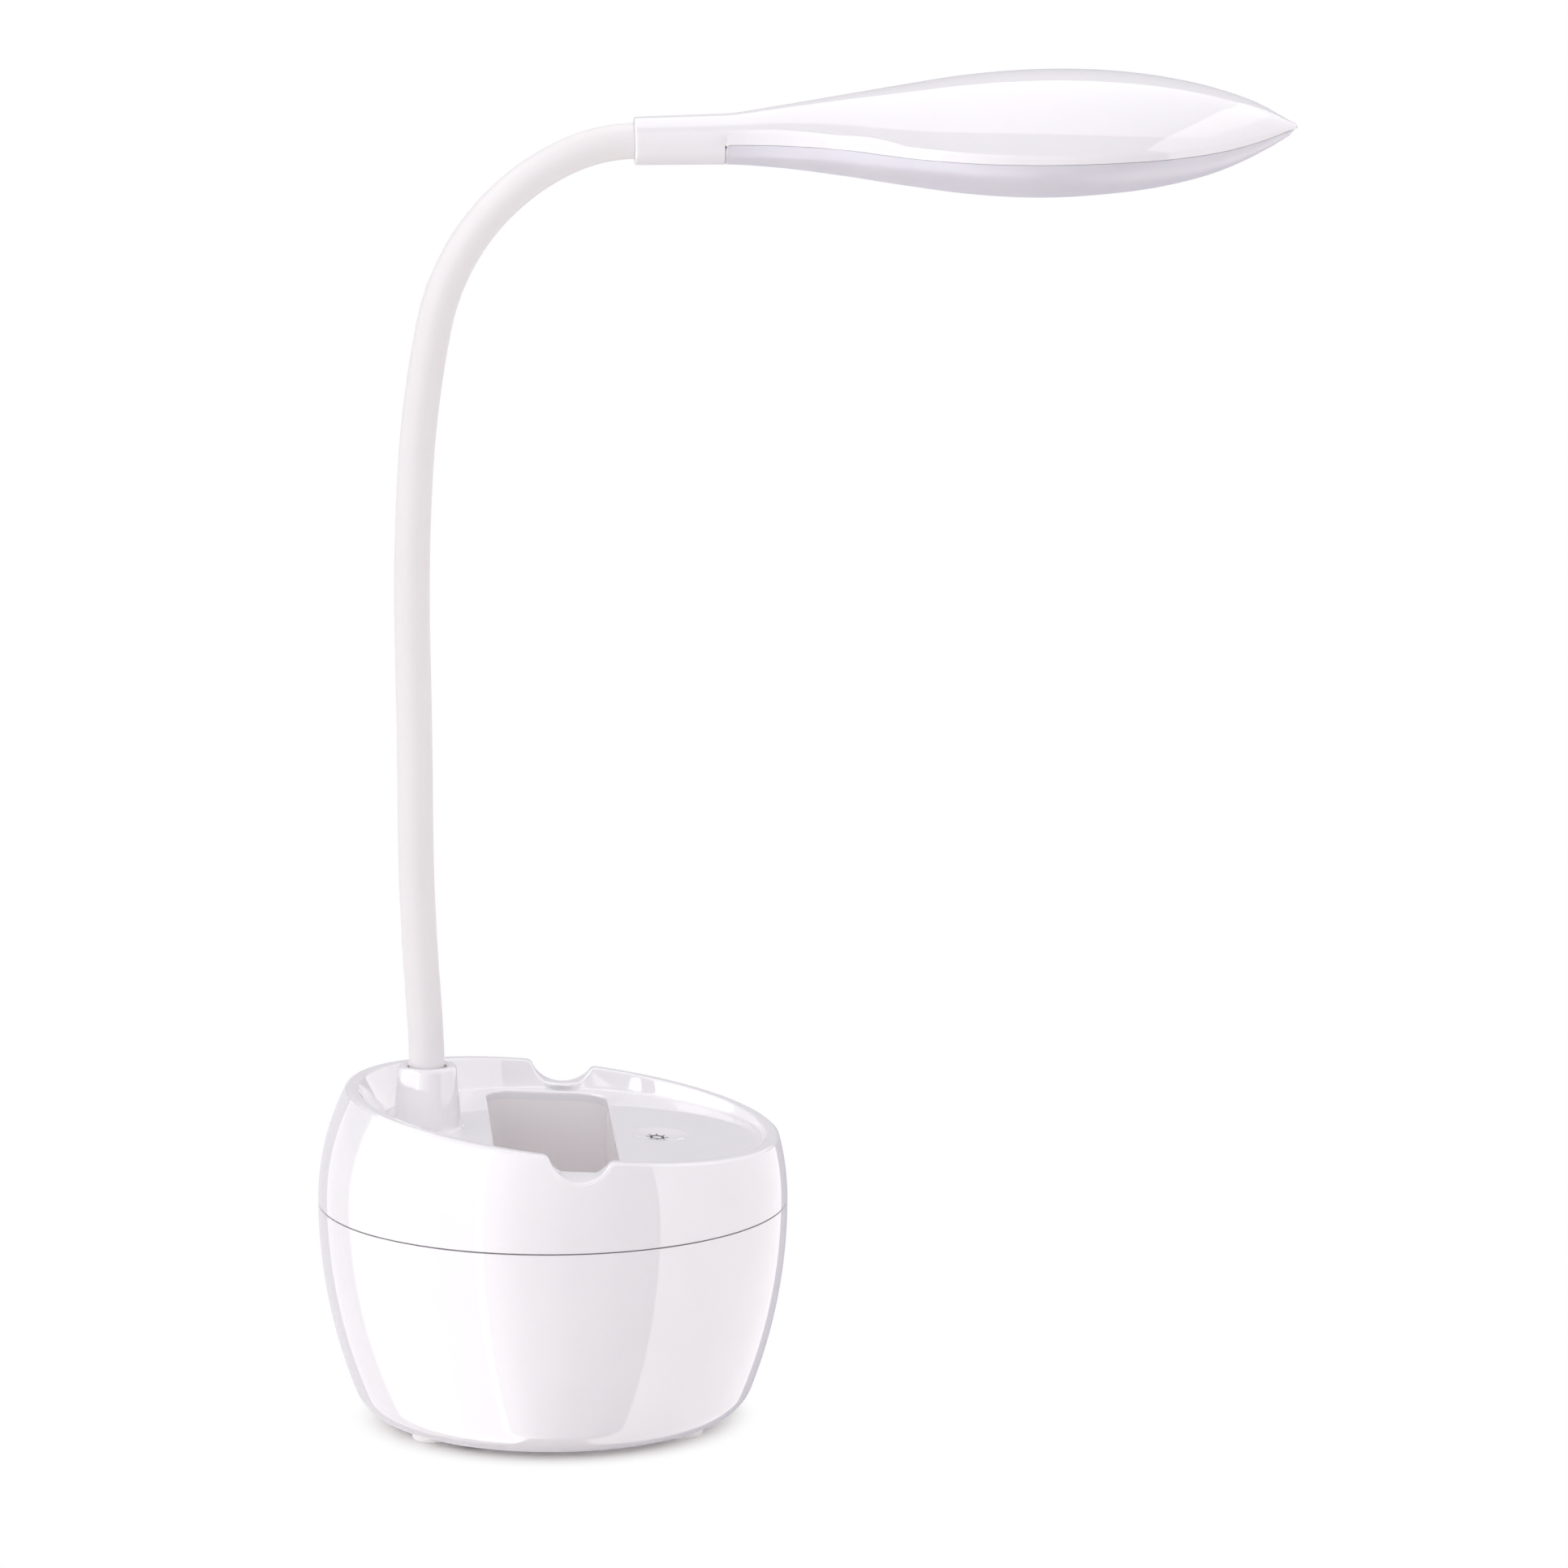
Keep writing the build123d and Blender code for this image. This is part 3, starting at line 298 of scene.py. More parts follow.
# the dish is part of a ball, sunk into the deck
dishBall = (dish["radius"] ** 2 + dish["depth"] ** 2) / (2 * dish["depth"])
dishMiddle = Vector((dish["x"] * cos(deckTilt), 0, deckHeight(0) - dish["x"] * sin(deckTilt)))


def dishPoint(x, y, rise):
    # a point over the dish's middle, from distances in the deck's plane and above it
    return dishMiddle + deckAlong * x + Vector((0, y, 0)) + deckUp * rise


def dishSink(squaredReach):
    # how far the ball's surface lies under the deck
    return sqrt(dishBall ** 2 - squaredReach) - (dishBall - dish["depth"])


def innerWall(angle, share):
    # the basin's wall, straight from its mouth to the deck
    return mouthPoint(angle).lerp(basinPoint(angle), share)


def onInnerWall(x, z, side):
    # angle and share of the inner wall's point that has this x and z
    angle, share = 0.0, 0.0
    for attempt in range(25):  # settles well before that
        middle = innerWall(pi / 2, share).x
        reach = innerWall(0, share).x - middle
        angle = side * acos(max(-1.0, min(1.0, (x - middle) / reach)))
        top, bottom = mouthPoint(angle).z, basinPoint(angle).z
        share = max(0.0, min(1.0, (top - z) / (top - bottom)))
    return angle, share


def rimSamples():
    # walks once round the rim: outer edge, inner edge and the top face's normal at each sample
    s = upperBowl
    notchLevel = deckHeight(s["basinShift"]) + s["notchSill"] + s["notchRadius"]
    lineUp = Vector((rimUp.x, rimUp.z))
    lineAlong = Vector((lineUp.y, -lineUp.x))
    foot = Vector((s["basinShift"], rimHeight(s["basinShift"])))
    toCentre = Vector((s["basinShift"], notchLevel)) - foot
    centreU, centreV = toCentre.dot(lineAlong), toCentre.dot(lineUp)
    reach = sqrt((s["notchRadius"] + s["notchShoulder"]) ** 2 - (centreV + s["notchShoulder"]) ** 2)
    notchCentre = foot + lineAlong * centreU + lineUp * centreV
    shoulders = [foot + lineAlong * (centreU + way * reach) - lineUp * s["notchShoulder"] for way in (1, -1)]
    profile = []  # from the notch's high-x end to its low-x end: place and normal in the XZ plane

    def sweepArc(centre, radius, first, last, count, outward):
        # always the short way round
        turn = (last - first + pi) % (2 * pi) - pi
        for k in range(count + 1):
            a = first + turn * k / count
            way = Vector((cos(a), sin(a)))
            profile.append((centre + way * radius, way * outward))

    def angleOf(v):
        return atan2(v.y, v.x)

    sweepArc(shoulders[0], s["notchShoulder"], angleOf(lineUp), angleOf(notchCentre - shoulders[0]),
             s["shoulderSamples"], 1)
    sweepArc(notchCentre, s["notchRadius"], angleOf(shoulders[0] - notchCentre),
             angleOf(shoulders[1] - notchCentre), s["notchSamples"], -1)
    sweepArc(shoulders[1], s["notchShoulder"], angleOf(notchCentre - shoulders[1]), angleOf(lineUp),
             s["shoulderSamples"], 1)
    notchStart, notchEnd = profile[0][0].x, profile[-1][0].x

    def outerAt(azimuth):
        r = s["radius"]
        for attempt in range(40):
            r = bowlRadiusAt(rimHeight(r * cos(azimuth)))
        return Vector((r * cos(azimuth), r * sin(azimuth), rimHeight(r * cos(azimuth))))

    def outerAzimuth(x):
        z = rimHeight(x)
        return acos(x / bowlRadiusAt(z))

    samples = []
    outerFirst, outerLast = outerAzimuth(notchStart), outerAzimuth(notchEnd)
    innerFirst = onInnerWall(notchStart, rimHeight(notchStart), 1)[0]
    innerLast = onInnerWall(notchEnd, rimHeight(notchEnd), 1)[0]
    arc = s["arcSamples"]
    for k in range(arc + 1):  # low end of the bowl, from the front notch round to the rear notch
        t = -1 + 2 * k / arc
        samples.append((outerAt(outerFirst * t), innerFirst * t, 0.0, rimUp))
    for place, normal in profile[1:-1]:  # rear notch
        z = place.y
        outer = Vector((place.x, sqrt(bowlRadiusAt(z) ** 2 - place.x ** 2), z))
        angle, share = onInnerWall(place.x, z, 1)
        samples.append((outer, angle, share, Vector((normal.x, 0, normal.y))))
    for k in range(arc + 1):  # high end, from the rear notch round to the front notch
        t = k / arc
        samples.append((outerAt(outerLast + (2 * pi - 2 * outerLast) * t),
                        innerLast + (2 * pi - 2 * innerLast) * t, 0.0, rimUp))
    for place, normal in reversed(profile[1:-1]):  # front notch
        z = place.y
        outer = Vector((place.x, -sqrt(bowlRadiusAt(z) ** 2 - place.x ** 2), z))
        angle, share = onInnerWall(place.x, z, -1)
        samples.append((outer, angle, share, Vector((normal.x, 0, normal.y))))
    return samples


def cornerArc(edge, wallWay, topWay, radius, count):
    # points of the round that joins two faces along an edge
    opening = wallWay.angle(topWay)
    reach = radius / tan(opening / 2)
    centre = edge + (wallWay + topWay).normalized() * (radius / sin(opening / 2))
    first, last = edge + wallWay * reach - centre, edge + topWay * reach - centre
    return [centre + first.slerp(last, k / count) for k in range(count + 1)]


def facingAway(way, other):
    # unit vector along a way, turned so that it points away from the other
    return (way if way.dot(other) < 0 else -way).normalized()


def intoDeck(angle):
    # unit vector in the deck's plane, from the basin's edge inwards
    inward = Vector((-cos(angle), -sin(angle), 0))
    return (inward - deckUp * inward.dot(deckUp)).normalized()


def rimRows():
    # from the seam up the wall, over the rim and down the basin's wall to the deck
    s = upperBowl
    samples = rimSamples()
    count = len(samples)
    outerRound, innerRound, wallFeet = [], [], []
    innerEdges = [innerWall(angle, share) for outer, angle, share, up in samples]
    for k, (outer, angle, share, up) in enumerate(samples):
        along = (samples[(k + 1) % count][0] - samples[k - 1][0]).normalized()
        bowSlope = (outer.z - s["seam"]) / s["bow"]
        flat = Vector((outer.x, outer.y, 0)).normalized()
        wallNormal = flat * sqrt(1 - bowSlope ** 2) + Vector((0, 0, bowSlope))
        outerRound.append(cornerArc(outer, facingAway(along.cross(wallNormal), up),
                                    facingAway(along.cross(up), wallNormal), s["rimRound"], s["rimRows"]))
        inner = innerEdges[k]
        innerAlong = (innerEdges[(k + 1) % count] - innerEdges[k - 1]).normalized()
        downWall = (basinPoint(angle) - mouthPoint(angle)).normalized()
        ring = (innerWall(angle + 0.001, share) - innerWall(angle - 0.001, share)).normalized()
        innerNormal = facingAway(ring.cross(downWall), inner)
        height = inner.z - deckHeight(inner.x)
        innerRound.append(cornerArc(inner, facingAway(innerAlong.cross(innerNormal), up),
                                    facingAway(innerAlong.cross(up), innerNormal),
                                    min(s["rimRound"], s["rimShare"] * height), s["rimRows"]))
        wallFeet.append(cornerArc(basinPoint(angle), -downWall, intoDeck(angle),
                                  min(s["basinRound"], s["footShare"] * height), s["footRows"]))
    azimuths = [atan2(arc[0].y, arc[0].x) for arc in outerRound]
    low = s["seam"] + s["slot"]
    rows = [[(r * cos(a), r * sin(a), low) for a in azimuths]
            for r in (s["radius"] - s["wall"], s["radius"] - s["groove"])]
    first = low + s["groove"]
    for j in range(s["wallRows"] + 1):
        levels = [first + (arc[0].z - first) * j / s["wallRows"] for arc in outerRound]
        rows.append([(bowlRadiusAt(z) * cos(a), bowlRadiusAt(z) * sin(a), z)
                     for a, z in zip(azimuths, levels)])
    rows += [[arc[j] for arc in outerRound] for j in range(1, s["rimRows"] + 1)]
    rows += [[arc[j] for arc in innerRound] for j in range(s["rimRows"], -1, -1)]
    rows += [[arc[0].lerp(foot[0], j / s["basinRows"]) for arc, foot in zip(innerRound, wallFeet)]
             for j in range(1, s["basinRows"])]
    rows += [[foot[j] for foot in wallFeet] for j in range(s["footRows"] + 1)]
    rows.append([foot[-1] + intoDeck(sample[1]) * s["flatEdge"] for foot, sample in zip(wallFeet, samples)])
    return rows


def wellOutline(offset, heightAt):
    return roundedBox(well["width"], well["length"], well["corner"], offset, heightAt)


def wellMouthRows():
    # flat edge, round, then the deck's own thickness
    lip = well["lipRound"]
    rows = [wellOutline(lip + upperBowl["flatEdge"], deckHeight)]
    for a in quarterTurn(well["lipRows"]):
        rows.append(wellOutline(lip * (1 - sin(a)), lambda x: deckHeight(x) - lip * (1 - cos(a))))
    return rows + [wellOutline(0, underDeck)]


def towerRows():
    # from the foot, rounded into the deck, over the rounded top and down the bore
    s = tower
    centre = (s["x"], 0)
    foot = s["topRadius"] + (s["top"] - deckHeight(s["x"])) * s["lean"]
    rows = [ringPoints(centre, foot + s["baseRound"] + upperBowl["flatEdge"], deckHeight, deckAround)]
    for a in quarterTurn(s["baseRows"]):
        rise = s["baseRound"] * (1 - cos(a))
        rows.append(ringPoints(centre, foot + s["baseRound"] * (1 - sin(a)) - rise * s["lean"],
                               lambda x: deckHeight(x) + rise, deckAround))
    edge = s["edgeRound"]
    topLevel = s["top"] - edge
    lowRadius, highRadius = foot - s["baseRound"] * s["lean"], s["topRadius"] + edge * s["lean"]
    for j in range(1, s["sideRows"]):
        share = j / s["sideRows"]
        r = lowRadius * (1 - share) + highRadius * share
        row = []
        for k in range(deckAround):
            a = 2 * pi * k / deckAround
            base = deckHeight(s["x"] + foot * cos(a)) + s["baseRound"]
            row.append((s["x"] + r * cos(a), r * sin(a), base * (1 - share) + topLevel * share))
        rows.append(row)
    for a in quarterTurn(s["topRows"]):
        rows.append(ringPoints(centre, highRadius - edge * (1 - cos(a)),
                               lambda x: topLevel + edge * sin(a), deckAround))
    mouthEdge = s["bore"] + s["mouth"]
    for r, level in ((mouthEdge + s["mouthFlat"], s["top"]), (mouthEdge, s["top"] - s["mouthDip"]),
                     (s["bore"], s["top"] - s["mouth"]), (s["bore"], s["boreFloor"])):
        rows.append(ringPoints(centre, r, lambda x: level, deckAround))
    return rows


def dishRows():
    # from the flat deck over a soft edge down to the last ring before the dish's middle
    s = dish
    soft = s["edgeShare"] * s["edgeRound"]
    outer = s["radius"] + s["edgeRound"]
    reaches = [(outer + upperBowl["flatEdge"], 0.0), (outer, 0.0),
               (s["radius"] + soft, -s["edgeSinks"][0]), (s["radius"] - soft, -s["edgeSinks"][1])]
    for j in range(s["rings"]):
        r = (s["radius"] - s["edgeRound"]) * (1 - j / s["rings"])
        reaches.append((r, -dishSink(r ** 2)))
    angles = [2 * pi * k / deckAround for k in range(deckAround)]
    return [[dishPoint(r * cos(a), r * sin(a), rise) for a in angles] for r, rise in reaches]


def buildUpperShell():
    bm = bmesh.new()
    deckLoops = []
    for rows, deckRow in ((rimRows(), -1), (wellMouthRows(), 0), (towerRows(), 0), (dishRows(), 0)):
        made = [addRow(bm, row) for row in rows]
        bridgeRows(bm, made)
        deckLoops.append(made[deckRow])
    middle = bm.verts.new((dishMiddle - deckUp * dish["depth"]) * mm)
    for k in range(deckAround):
        bm.faces.new([made[-1][k], made[-1][(k + 1) % deckAround], middle])
    fillBetween(bm, deckLoops)
    return makePiece("upperShell", bm, glossAbs, "base", ("upper_shell",))


buildUpperShell()
print("upper shell built")


# Pen well under the deck: straight walls and a rounded floor
def buildWell():
    bm = bmesh.new()
    rows = [wellOutline(0, underDeck)]
    top = underDeck(well["width"])
    r = well["floorRound"]
    for j in range(1, well["wallRows"] + 1):
        z = top + (well["floor"] + r - top) * j / well["wallRows"]
        rows.append(wellOutline(0, lambda x: z))
    for a in quarterTurn(well["floorRows"])[1:]:
        rows.append(wellOutline(-r * (1 - cos(a)), lambda x: well["floor"] + r * (1 - sin(a))))
    rows.append(wellOutline(-r - well["floorEdge"], lambda x: well["floor"]))
    made = [addRow(bm, row) for row in rows]
    bridgeRows(bm, made)
    fillBetween(bm, [made[-1]])
    return makePiece("wellLiner", bm, lightenedWellAbs, "base", ("pen_well",))


buildWell()
print("well built")

# Lower shell: bowed wall, rounded corner, flat floor with foot recesses and screw bosses
lowerBowl = {
    "radius": 60.0, "seam": 57.2, "bow": 135.4, "corner": 10.8, "floor": 1.5, "groove": 0.12, "slot": 0.17,
    "wall": 2.6, "skin": 2.2, "sharpAngle": 32.0, "wallRows": 40, "cornerRows": 16, "around": 288,
    "flatEdge": 0.3, "flatShares": (0.9, 0.6, 0.3),
    "footPlaces": ((32.0, 22.4), (-32.0, 22.4), (-32.0, -22.4), (32.0, -22.4)), "footRecess": 5.15,
    "footDepth": 0.8, "bossPlaces": ((-22.2, 30.0), (-22.2, -30.0), (44.4, 0.0)), "bossHole": 2.8,
    "bossRadius": 4.2, "bossSink": 1.0, "bossTop": 40.0, "bossDepth": 38.0, "bossAround": 48,
    "footAround": 64, "cutFrom": -5.0,
}
# where the bowed wall meets the round at the bottom
cornerLevel = lowerBowl["floor"] + lowerBowl["corner"]
cornerSide = lowerBowl["bow"] - lowerBowl["corner"]
cornerX = (lowerBowl["radius"] - lowerBowl["bow"]
           + sqrt(cornerSide ** 2 - (lowerBowl["seam"] - cornerLevel) ** 2))


def buildLowerShell():
    s = lowerBowl
    bm = bmesh.new()
    cornerAngle = asin((s["seam"] - cornerLevel) / cornerSide)
    lip = s["seam"] - s["slot"]
    outline = [(s["radius"] - s["wall"], lip), (s["radius"] - s["groove"], lip)]
    grooveAngle = asin((s["groove"] + s["slot"]) / s["bow"])
    for j in range(s["wallRows"] + 1):
        a = grooveAngle + (cornerAngle - grooveAngle) * j / s["wallRows"]
        outline.append((s["radius"] - s["bow"] + s["bow"] * cos(a), s["seam"] - s["bow"] * sin(a)))
    for j in range(1, s["cornerRows"] + 1):
        a = cornerAngle + (pi / 2 - cornerAngle) * j / s["cornerRows"]
        outline.append((cornerX + s["corner"] * cos(a), cornerLevel - s["corner"] * sin(a)))
    outline.append((cornerX - s["flatEdge"], s["floor"]))
    outline += [(cornerX * share, s["floor"]) for share in s["flatShares"]]
    made = [addRow(bm, ringPoints((0, 0), r, lambda x: z, s["around"])) for r, z in outline]
    bridgeRows(bm, made)
    bm.faces.new(made[-1])
    return makePiece("lowerShell", bm, glossAbs)


lowerShell = buildLowerShell()

# Charging socket's opening at the rear: a shallow recess round a slot
socketCut = {"level": 27.0, "width": 7.8, "height": 2.9, "corner": 0.9, "slip": 0.1, "margin": 2.0,
             "recess": 0.9, "wallAt": 56.59, "reach": 8.0}


def closedPrism(name, rowPoints):
    # a closed body from rows of points that follow each other, used only to cut or to add
    bm = bmesh.new()
    rows = [addRow(bm, points) for points in rowPoints]
    bridgeRows(bm, rows)
    for row in (rows[0], rows[-1]):
        bm.faces.new(row)
    bmesh.ops.recalc_face_normals(bm, faces=bm.faces)
    mesh = bpy.data.meshes.new(name)
    bm.to_mesh(mesh)
    bm.free()
    prism = bpy.data.objects.new(name, mesh)
    bpy.context.scene.collection.objects.link(prism)
    return prism


def roundPrism(name, place, radius, low, high, around):
    return closedPrism(name, [ringPoints(place, radius, lambda x: level, around) for level in (low, high)])


def boxPrism(name, grown, near, far):
    # the socket's rounded outline, grown on all sides, as a prism along +Y
    s = socketCut
    section = roundedBox(s["width"] + 2 * grown, s["height"] + 2 * grown, s["corner"] + grown, 0,
                         lambda x: 0, 12, 2)
    return closedPrism(name, [[(x, y, s["level"] + z) for x, z, flat in section] for y in (near, far)])


def bottomLevel(x, y):
    # outer face of the underside, flat and then rising round the corner
    corner = lowerBowl["corner"]
    past = max(0.0, sqrt(x * x + y * y) - cornerX)
    return cornerLevel - sqrt(corner ** 2 - min(past, corner) ** 2)


def undersideSteps():
    # the three bosses with the screw holes that run up them, then the foot recesses
    s = lowerBowl
    steps = []
    for k, place in enumerate(s["bossPlaces"]):
        top = ringPoints(place, s["bossRadius"], lambda x: s["bossTop"], s["bossAround"])
        foot = [(x, y, bottomLevel(x, y) + s["bossSink"]) for x, y, level in top]
        steps.append((closedPrism("boss" + str(k), [foot, top]), "UNION"))
        steps.append((roundPrism("bossHole" + str(k), place, s["bossHole"], s["cutFrom"], s["bossDepth"],
                                 s["bossAround"]), "DIFFERENCE"))
    for k, place in enumerate(s["footPlaces"]):
        steps.append((roundPrism("footRecess" + str(k), place, s["footRecess"], s["cutFrom"],
                                 s["floor"] + s["footDepth"], s["footAround"]), "DIFFERENCE"))
    return steps


def cutSocket():
    # gives the cup its wall, then cuts the socket's opening and finishes the underside
    s = socketCut
    slot = boxPrism("slotCutter", s["slip"], s["wallAt"] - s["reach"], s["wallAt"] + s["reach"])
    recess = boxPrism("recessCutter", s["margin"], s["wallAt"] - s["recess"], s["wallAt"] + s["reach"])
    thick = lowerShell.modifiers.new("wall", "SOLIDIFY")
    thick.thickness = lowerBowl["skin"] * mm
    thick.offset = -1
    steps = [(recess, "DIFFERENCE"), (slot, "DIFFERENCE")] + undersideSteps()
    for cutter, way in steps:
        cut = lowerShell.modifiers.new("cut", "BOOLEAN")
        cut.operation = way
        cut.object = cutter
        cut.solver = "EXACT"
    bpy.context.view_layer.update()
    shaped = bpy.data.meshes.new_from_object(lowerShell.evaluated_get(bpy.context.evaluated_depsgraph_get()))
    lowerShell.modifiers.clear()
    lowerShell.data = shaped
    shaped.name = "lowerShell"
    for face in shaped.polygons:
        face.use_smooth = True
    shaped.set_sharp_from_angle(angle=radians(lowerBowl["sharpAngle"]))
    for cutter, way in steps:
        bpy.data.objects.remove(cutter)
    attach(lowerShell, "base")
    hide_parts("lower_shell")


cutSocket()
print("lower shell built")

# Printed brightness mark in the dish: a ring with eight short rays
sunMark = {"ringInner": 1.25, "ringOuter": 1.9, "rayFrom": 2.1, "rayTo": 2.85, "rayWidth": 0.48, "rays": 8,
           "lift": 0.03, "shift": -0.7, "around": 48}


def buildSunMark():
    s = sunMark
    bm = bmesh.new()

    def onDish(x, y):
        x += s["shift"]
        return dishPoint(x, y, s["lift"] - dishSink(x * x + y * y))

    angles = [2 * pi * k / s["around"] for k in range(s["around"])]
    rings = [addRow(bm, [onDish(r * cos(a), r * sin(a)) for a in angles])
             for r in (s["ringInner"], (s["ringInner"] + s["ringOuter"]) / 2, s["ringOuter"])]
    bridgeRows(bm, rings)
    for k in range(s["rays"]):
        a = 2 * pi * k / s["rays"]
        corners = []
        for r, w in ((s["rayFrom"], -1), (s["rayTo"], -1), (s["rayTo"], 1), (s["rayFrom"], 1)):
            aside = w * s["rayWidth"] / 2
            corners.append(onDish(r * cos(a) - aside * sin(a), r * sin(a) + aside * cos(a)))
        bm.faces.new(addRow(bm, corners))
    return makePiece("brightnessMark", bm, printedInk, "base")


buildSunMark()

# Neck: one silicone tube in seven lengths, each curved along its links and reaching across one knuckle
neck = {
    "start": (-31.9, 84.7), "length": 272.2, "radius": 4.5, "grip": 8.0, "gripGap": 0.2, "sunk": 2.0,
    "around": 56, "step": 1.2, "fewestRows": 8,
    "linkShares": (0.103, 0.162, 0.162, 0.162, 0.140, 0.103, 0.103, 0.065),
    "turns": (-4.0, 4.0, -1.0, 4.5, 8.0, 26.5, 27.0, 24.3), "towerGrip": 8.4, "bendShare": 0.86,
    "bodies": ("base", "link_2", "link_3", "link_4", "link_5", "link_6", "link_7", "head"),
}


def neckArcs():
    # each link as place, heading, length and turn
    arcs = []
    x, z = neck["start"]
    heading = 0.0
    for share, turn in zip(neck["linkShares"], neck["turns"]):
        length = neck["length"] * share
        arcs.append((x, z, heading, length, turn))
        half = radians(turn) / 2
        chord = length * sin(half) / half
        x += chord * sin(radians(heading) + half)
        z += chord * cos(radians(heading) + half)
        heading += turn
    arcs.append((x, z, heading, 0.0, 0.0))
    return arcs


neckLine = neckArcs()
linkStarts = [sum(arc[3] for arc in neckLine[:k]) for k in range(len(neckLine))]


def neckPoint(distance):
    # centre and heading of the neck at a distance along it; straight past both ends
    k = max([i for i in range(len(neckLine)) if linkStarts[i] <= distance] or [0])
    x, z, heading, length, turn = neckLine[k]
    along = distance - linkStarts[k]
    if length == 0 or distance < 0:
        return Vector((x + along * sin(radians(heading)), 0, z + along * cos(radians(heading)))), heading
    half = radians(turn) * along / length / 2
    chord = along * (sin(half) / half if abs(half) > 1e-9 else 1)
    way = radians(heading) + half
    return Vector((x + chord * sin(way), 0, z + chord * cos(way))), heading + degrees(2 * half)


def buildNeck():
    # the lengths meet at the middle of each link
    ends = [-neck["sunk"]] + [(linkStarts[k] + linkStarts[k + 1]) / 2 for k in range(1, 7)]
    ends.append(linkStarts[8] + neck["grip"] - neck["gripGap"])
    angles = [2 * pi * a / neck["around"] for a in range(neck["around"])]
    for k, (first, last) in enumerate(zip(ends, ends[1:])):
        steps = max(neck["fewestRows"], round((last - first) / neck["step"]))
        bm = bmesh.new()
        rows = []
        for j in range(steps + 1):
            centre, heading = neckPoint(first + (last - first) * j / steps)
            out = Vector((cos(radians(heading)), 0, -sin(radians(heading))))
            rows.append(addRow(bm, [centre + out * (neck["radius"] * cos(a))
                                    + Vector((0, neck["radius"] * sin(a), 0)) for a in angles]))
        bridgeRows(bm, rows)
        tube = makePiece("neckTube" + str(k + 1), bm, satinSilicone)
        nodes = ["neck_sleeve_" + str(k + 1)] + (["neck_sleeve_8"] if k == 6 else [])
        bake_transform(tube)
        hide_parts(*nodes)


buildNeck()
print("neck built")

# Head: collar and leaf in one shell
leaf = {
    "collarRadius": 6.05, "collarEnd": 6.35, "collarLength": 22.5, "collarRound": 0.6,
    "length": 144.6, "halfWidth": 31.0, "dome": 15.75, "dip": 4.1, "band": 2.9, "lean": 0.35,
    "lens": 15.7, "lensInset": 0.4, "lensGap": 0.15, "cutRound": 1.5,
    "lensLip": 1.2, "lensEdge": 0.25, "leastLens": 0.3, "lensLast": 0.984, "lensTip": (0.6, 0.35),
    "lensAround": 48,
    # wall seen at the rim, and what closes the collar below the lens
    "wall": 1.8, "wallShare": 0.8, "wallRise": 1.2, "hubShare": 0.2, "mouthRadius": 4.75, "mouthDepth": 6.0,
    "stations": (0.0, 0.092, 0.196, 0.306, 0.417, 0.541, 0.652, 0.763, 0.860, 0.936, 0.984, 1.0),
    "widths": (0.203, 0.284, 0.452, 0.684, 0.884, 1.0, 0.994, 0.848, 0.613, 0.342, 0.110, 0.03),
    "domes": (0.403, 0.508, 0.648, 0.794, 0.930, 1.0, 0.975, 0.851, 0.641, 0.375, 0.121, 0.04),
    "dips": (0.171, 0.195, 0.340, 0.700, 0.927, 1.0, 0.988, 0.950, 0.760, 0.390, 0.085, 0.024),
    "bands": (1.0, 0.90, 0.76, 0.70, 0.59, 0.48, 0.50, 0.60, 0.60, 0.38, 0.12, 0.05),
    "lenses": (0.404, 0.471, 0.605, 0.771, 0.920, 1.0, 0.968, 0.854, 0.643, 0.357, 0.127, 0.03),
    "rows": 150, "lastStation": 0.9965, "bandRows": 5, "domeRows": 30, "collarRows": 12,
    "collarRoundRows": 5, "underRows": 32,
    "sharpAngle": 24.0, "lensSharpAngle": 30.0,  # degrees from which an edge is crisp
}
mouth, headHeading = neckPoint(linkStarts[8])
headWay = Vector((sin(radians(headHeading)), 0, cos(radians(headHeading))))
headUp = Vector((-cos(radians(headHeading)), 0, sin(radians(headHeading))))


def headPoint(u, y, v):
    return mouth + headWay * u + headUp * v + Vector((0, y, 0))


def tableAt(values, t):
    # a smooth line through a table of shares
    s = leaf["stations"]
    i = min(max([k for k in range(len(s)) if s[k] <= t] or [0]), len(s) - 2)

    def slope(k):
        if k == 0:
            return (values[1] - values[0]) / (s[1] - s[0]) * 0.3
        if k == len(s) - 1:
            return (values[-1] - values[-2]) / (s[-1] - s[-2])
        a, b = s[k] - s[k - 1], s[k + 1] - s[k]
        return ((values[k] - values[k - 1]) / a * b + (values[k + 1] - values[k]) / b * a) / (a + b)

    h = s[i + 1] - s[i]
    p = (t - s[i]) / h
    return ((1 + 2 * p) * (1 - p) ** 2 * values[i] + p * (1 - p) ** 2 * h * slope(i)
            + p * p * (3 - 2 * p) * values[i + 1] + p * p * (p - 1) * h * slope(i + 1))


def leafSizes(t):
    # half width, dome top, crease level and rim level
    half = tableAt(leaf["widths"], t) * leaf["halfWidth"]
    rim = -tableAt(leaf["dips"], t) * leaf["dip"]
    crease = rim + tableAt(leaf["bands"], t) * leaf["band"]
    return half, tableAt(leaf["domes"], t) * leaf["dome"], crease, rim


def cutDrop(u):
    # how far the round at the start of the lens opening brings the rim down
    r = leaf["cutRound"]
    x = u - leaf["collarLength"]
    return r - sqrt(max(0.0, r * r - (r - x) ** 2)) if x < r else 0.0


def rowShare(k):
    # place of a row along the leaf, from 0 to 1, with closer rows at both ends
    p = k / leaf["rows"]
    return p * p * (3 - 2 * p) * 0.6 + p * 0.4


